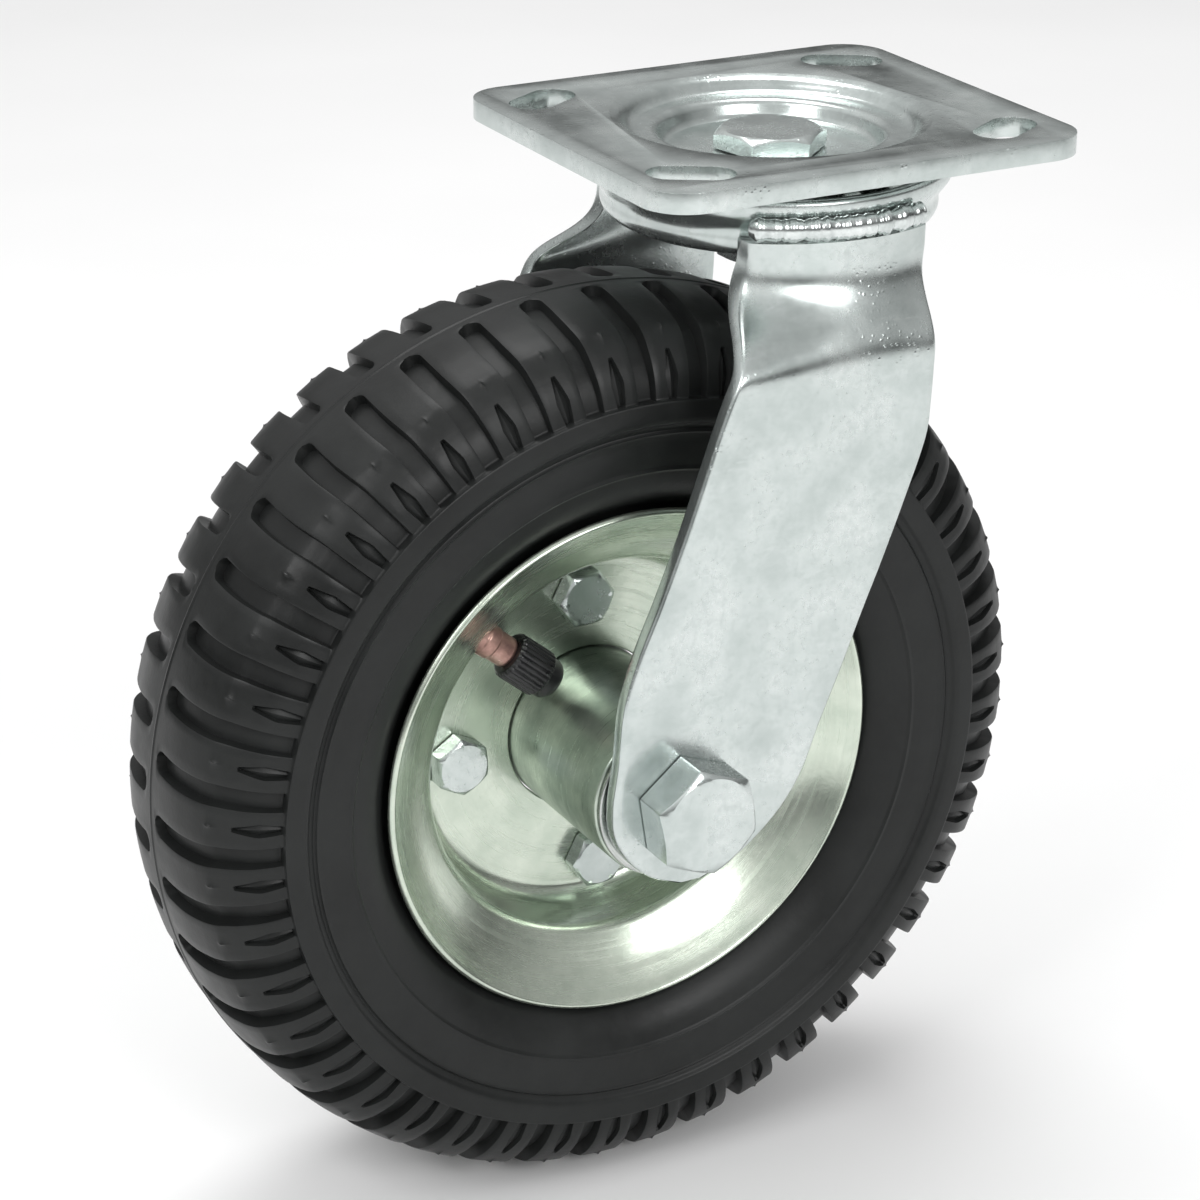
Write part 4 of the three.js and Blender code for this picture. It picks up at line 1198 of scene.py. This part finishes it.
def build_tyre():
    half_pitch = 180 / LUGS
    for word, side in SIDES.items():
        stagger = 0 if side < 0 else half_pitch
        wedge = build_tread_wedge(f"tyre_{word}_piece", side, FIRST_GROOVE + half_pitch + stagger)
        grown(wedge, RING_OF_COPIES, {"Count": LUGS, "First Turn": 0.0, "Finish": TYRE_RUBBER}, ON_AXLE)
        finished(wedge, "wheel", "tread_rubber", TYRE_RUBBER, "tyre", angle=40)


# ---- valve ----


def build_valve():
    reach, root, mouth = 18.4, 19.0, -7.4
    stem = turned("valve_stem_piece", [
        (0, -reach), (3.05, -reach), (3.05, mouth - 0.4), (3.85, mouth + 0.6, 0.3), (3.85, -2.5, 0.2),
        (4.15, -2.2, 0.2), (4.15, 0.4, 0.2), (3.85, 0.8, 0.2), (3.85, root), (0, root),
    ], valve_place(), turns=64)
    finished(stem, "wheel", "copper", BRASS, "valve_stem")
    tip, cap_r, ribs, columns = mouth - 14.5, 5.9, 26, 208
    outline = rounded([
        (0, tip), (cap_r - 2.6, tip, 1.2), (cap_r - 0.9, tip + 1.4, 1.2), (cap_r - 0.7, tip + 4.2, 0.4),
        (cap_r, tip + 4.6, 0.3), (cap_r, mouth - 0.9, 0.3), (cap_r - 0.7, mouth, 0.4), (3.4, mouth),
        (3.4, tip + 3), (0, tip + 3),
    ])
    rings = []
    for k in range(columns):
        angle = TURN * k / columns
        groove = 0.32 * (0.5 - 0.5 * math.cos(angle * ribs)) ** 2
        ring = []
        for p in outline:
            ribbed = p.x > cap_r - 0.75 and tip + 4.3 < p.y < mouth - 0.3
            r = p.x - (groove if ribbed else 0)
            ring.append((r * math.cos(angle), p.y, r * math.sin(angle)))
        rings.append(ring)
    cap = loft("valve_cap_piece", rings, valve_place())
    finished(cap, "wheel", "cap_plastic", PLASTIC, "valve_cap")


# ---- floor, light and camera ----


def build_floor():
    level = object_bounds()[0].z
    size = 6.0
    mesh = bpy.data.meshes.new("floor")
    corners = [(-size, -size, level), (size, -size, level), (size, size, level), (-size, size, level)]
    mesh.from_pydata(corners, [], [(0, 1, 2, 3)])
    floor = bpy.data.objects.new("floor", mesh)
    bpy.context.scene.collection.objects.link(floor)
    paint = Paint("pale_floor")
    soft = paint.noise(3, 3)
    greys = [(0.3, (0.86, 0.86, 0.86)), (0.7, (0.9, 0.9, 0.9))]
    paint.set("Base Color", paint.ramp(soft, greys))
    paint.set("Roughness", 0.9)
    mesh.materials.append(paint.material)


def soft_light(name, place, target, size, power, colour=(1, 1, 1)):
    data = bpy.data.lights.new(name, "AREA")
    data.shape = "RECTANGLE"
    data.size, data.size_y = size
    data.energy = power
    data.color = colour
    lamp = bpy.data.objects.new(name, data)
    lamp.location = place
    lamp.rotation_mode = "QUATERNION"
    lamp.rotation_quaternion = (Vector(target) - Vector(place)).to_track_quat("-Z", "Y")
    bpy.context.scene.collection.objects.link(lamp)


def build_light():
    """A pale studio: bright overhead, darker along the horizon and towards one side."""
    world = bpy.data.worlds.new("studio")
    bpy.context.scene.world = world
    world.use_nodes = True
    sky = Nodes(world.node_tree)
    spot = sky.node("ShaderNodeTexCoord").outputs["Generated"]
    parts = sky.node("ShaderNodeSeparateXYZ", {"Vector": spot}).outputs
    band = sky.node("ShaderNodeValToRGB", {"Fac": sky.ranged(parts["Z"], -1.0, 1.0)})
    stops = band.color_ramp.elements
    stops[0].position, stops[0].color = 0.46, (0.3, 0.3, 0.3, 1)
    stops[1].position, stops[1].color = 1.0, (1.0, 1.0, 1.0, 1)
    for place, grey in ((0.5, 0.1), (0.56, 0.14), (0.64, 0.7), (0.8, 0.95)):
        stop = stops.new(place)
        stop.color = (grey, grey, grey, 1)
    background = world.node_tree.nodes["Background"]
    sky.feed(background.inputs["Color"], band.outputs["Color"])
    sky.feed(background.inputs["Strength"], sky.ranged(parts["X"], -0.6, 1.0, 0.92, 0.4))
    middle = (-0.03, 0, -0.12)
    soft_light("key", (0.05, -1.4, 0.62), middle, (0.7, 0.5), 9)
    soft_light("left", (-1.3, -0.5, 1.0), middle, (0.8, 0.8), 9)
    soft_light("top", (0.1, 0.5, 1.6), middle, (1.2, 0.8), 15)


def build_camera():
    azimuth, elevation, roll = math.radians(-28.62), math.radians(23.03), math.radians(0.48)
    level = math.cos(elevation)
    back = Vector((math.sin(azimuth) * level, -math.cos(azimuth) * level, math.sin(elevation)))
    right = Vector((math.cos(azimuth), math.sin(azimuth), 0))
    up = back.cross(right)
    leaned_right = right * math.cos(roll) + up * math.sin(roll)
    leaned_up = up * math.cos(roll) - right * math.sin(roll)
    data = bpy.data.cameras.new("camera")
    data.sensor_width = 36.0
    data.lens = 102.94
    data.clip_start, data.clip_end = 0.01, 30
    camera = bpy.data.objects.new("camera", data)
    turn = Matrix((leaned_right, leaned_up, back)).transposed().to_4x4()
    camera.matrix_world = Matrix.Translation(Vector((-0.4124, -0.6738, 0.2104))) @ turn
    bpy.context.scene.collection.objects.link(camera)
    bpy.context.scene.camera = camera
    bpy.context.scene.view_settings.view_transform = "Standard"


paint_cad_nodes()
build_top_plate()
build_kingpin()
build_swivel_races()
build_crown()
for WORD, SIDE in SIDES.items():
    build_leg(WORD, SIDE)
    build_weld_bead(WORD, SIDE)
    build_bearing(WORD, SIDE)
    build_rim_half(WORD, SIDE)
build_axle_bolt()
build_axle_nut()
build_hub_tube()
build_rim_bolts()
build_tyre()
build_valve()
build_floor()
build_light()
build_camera()
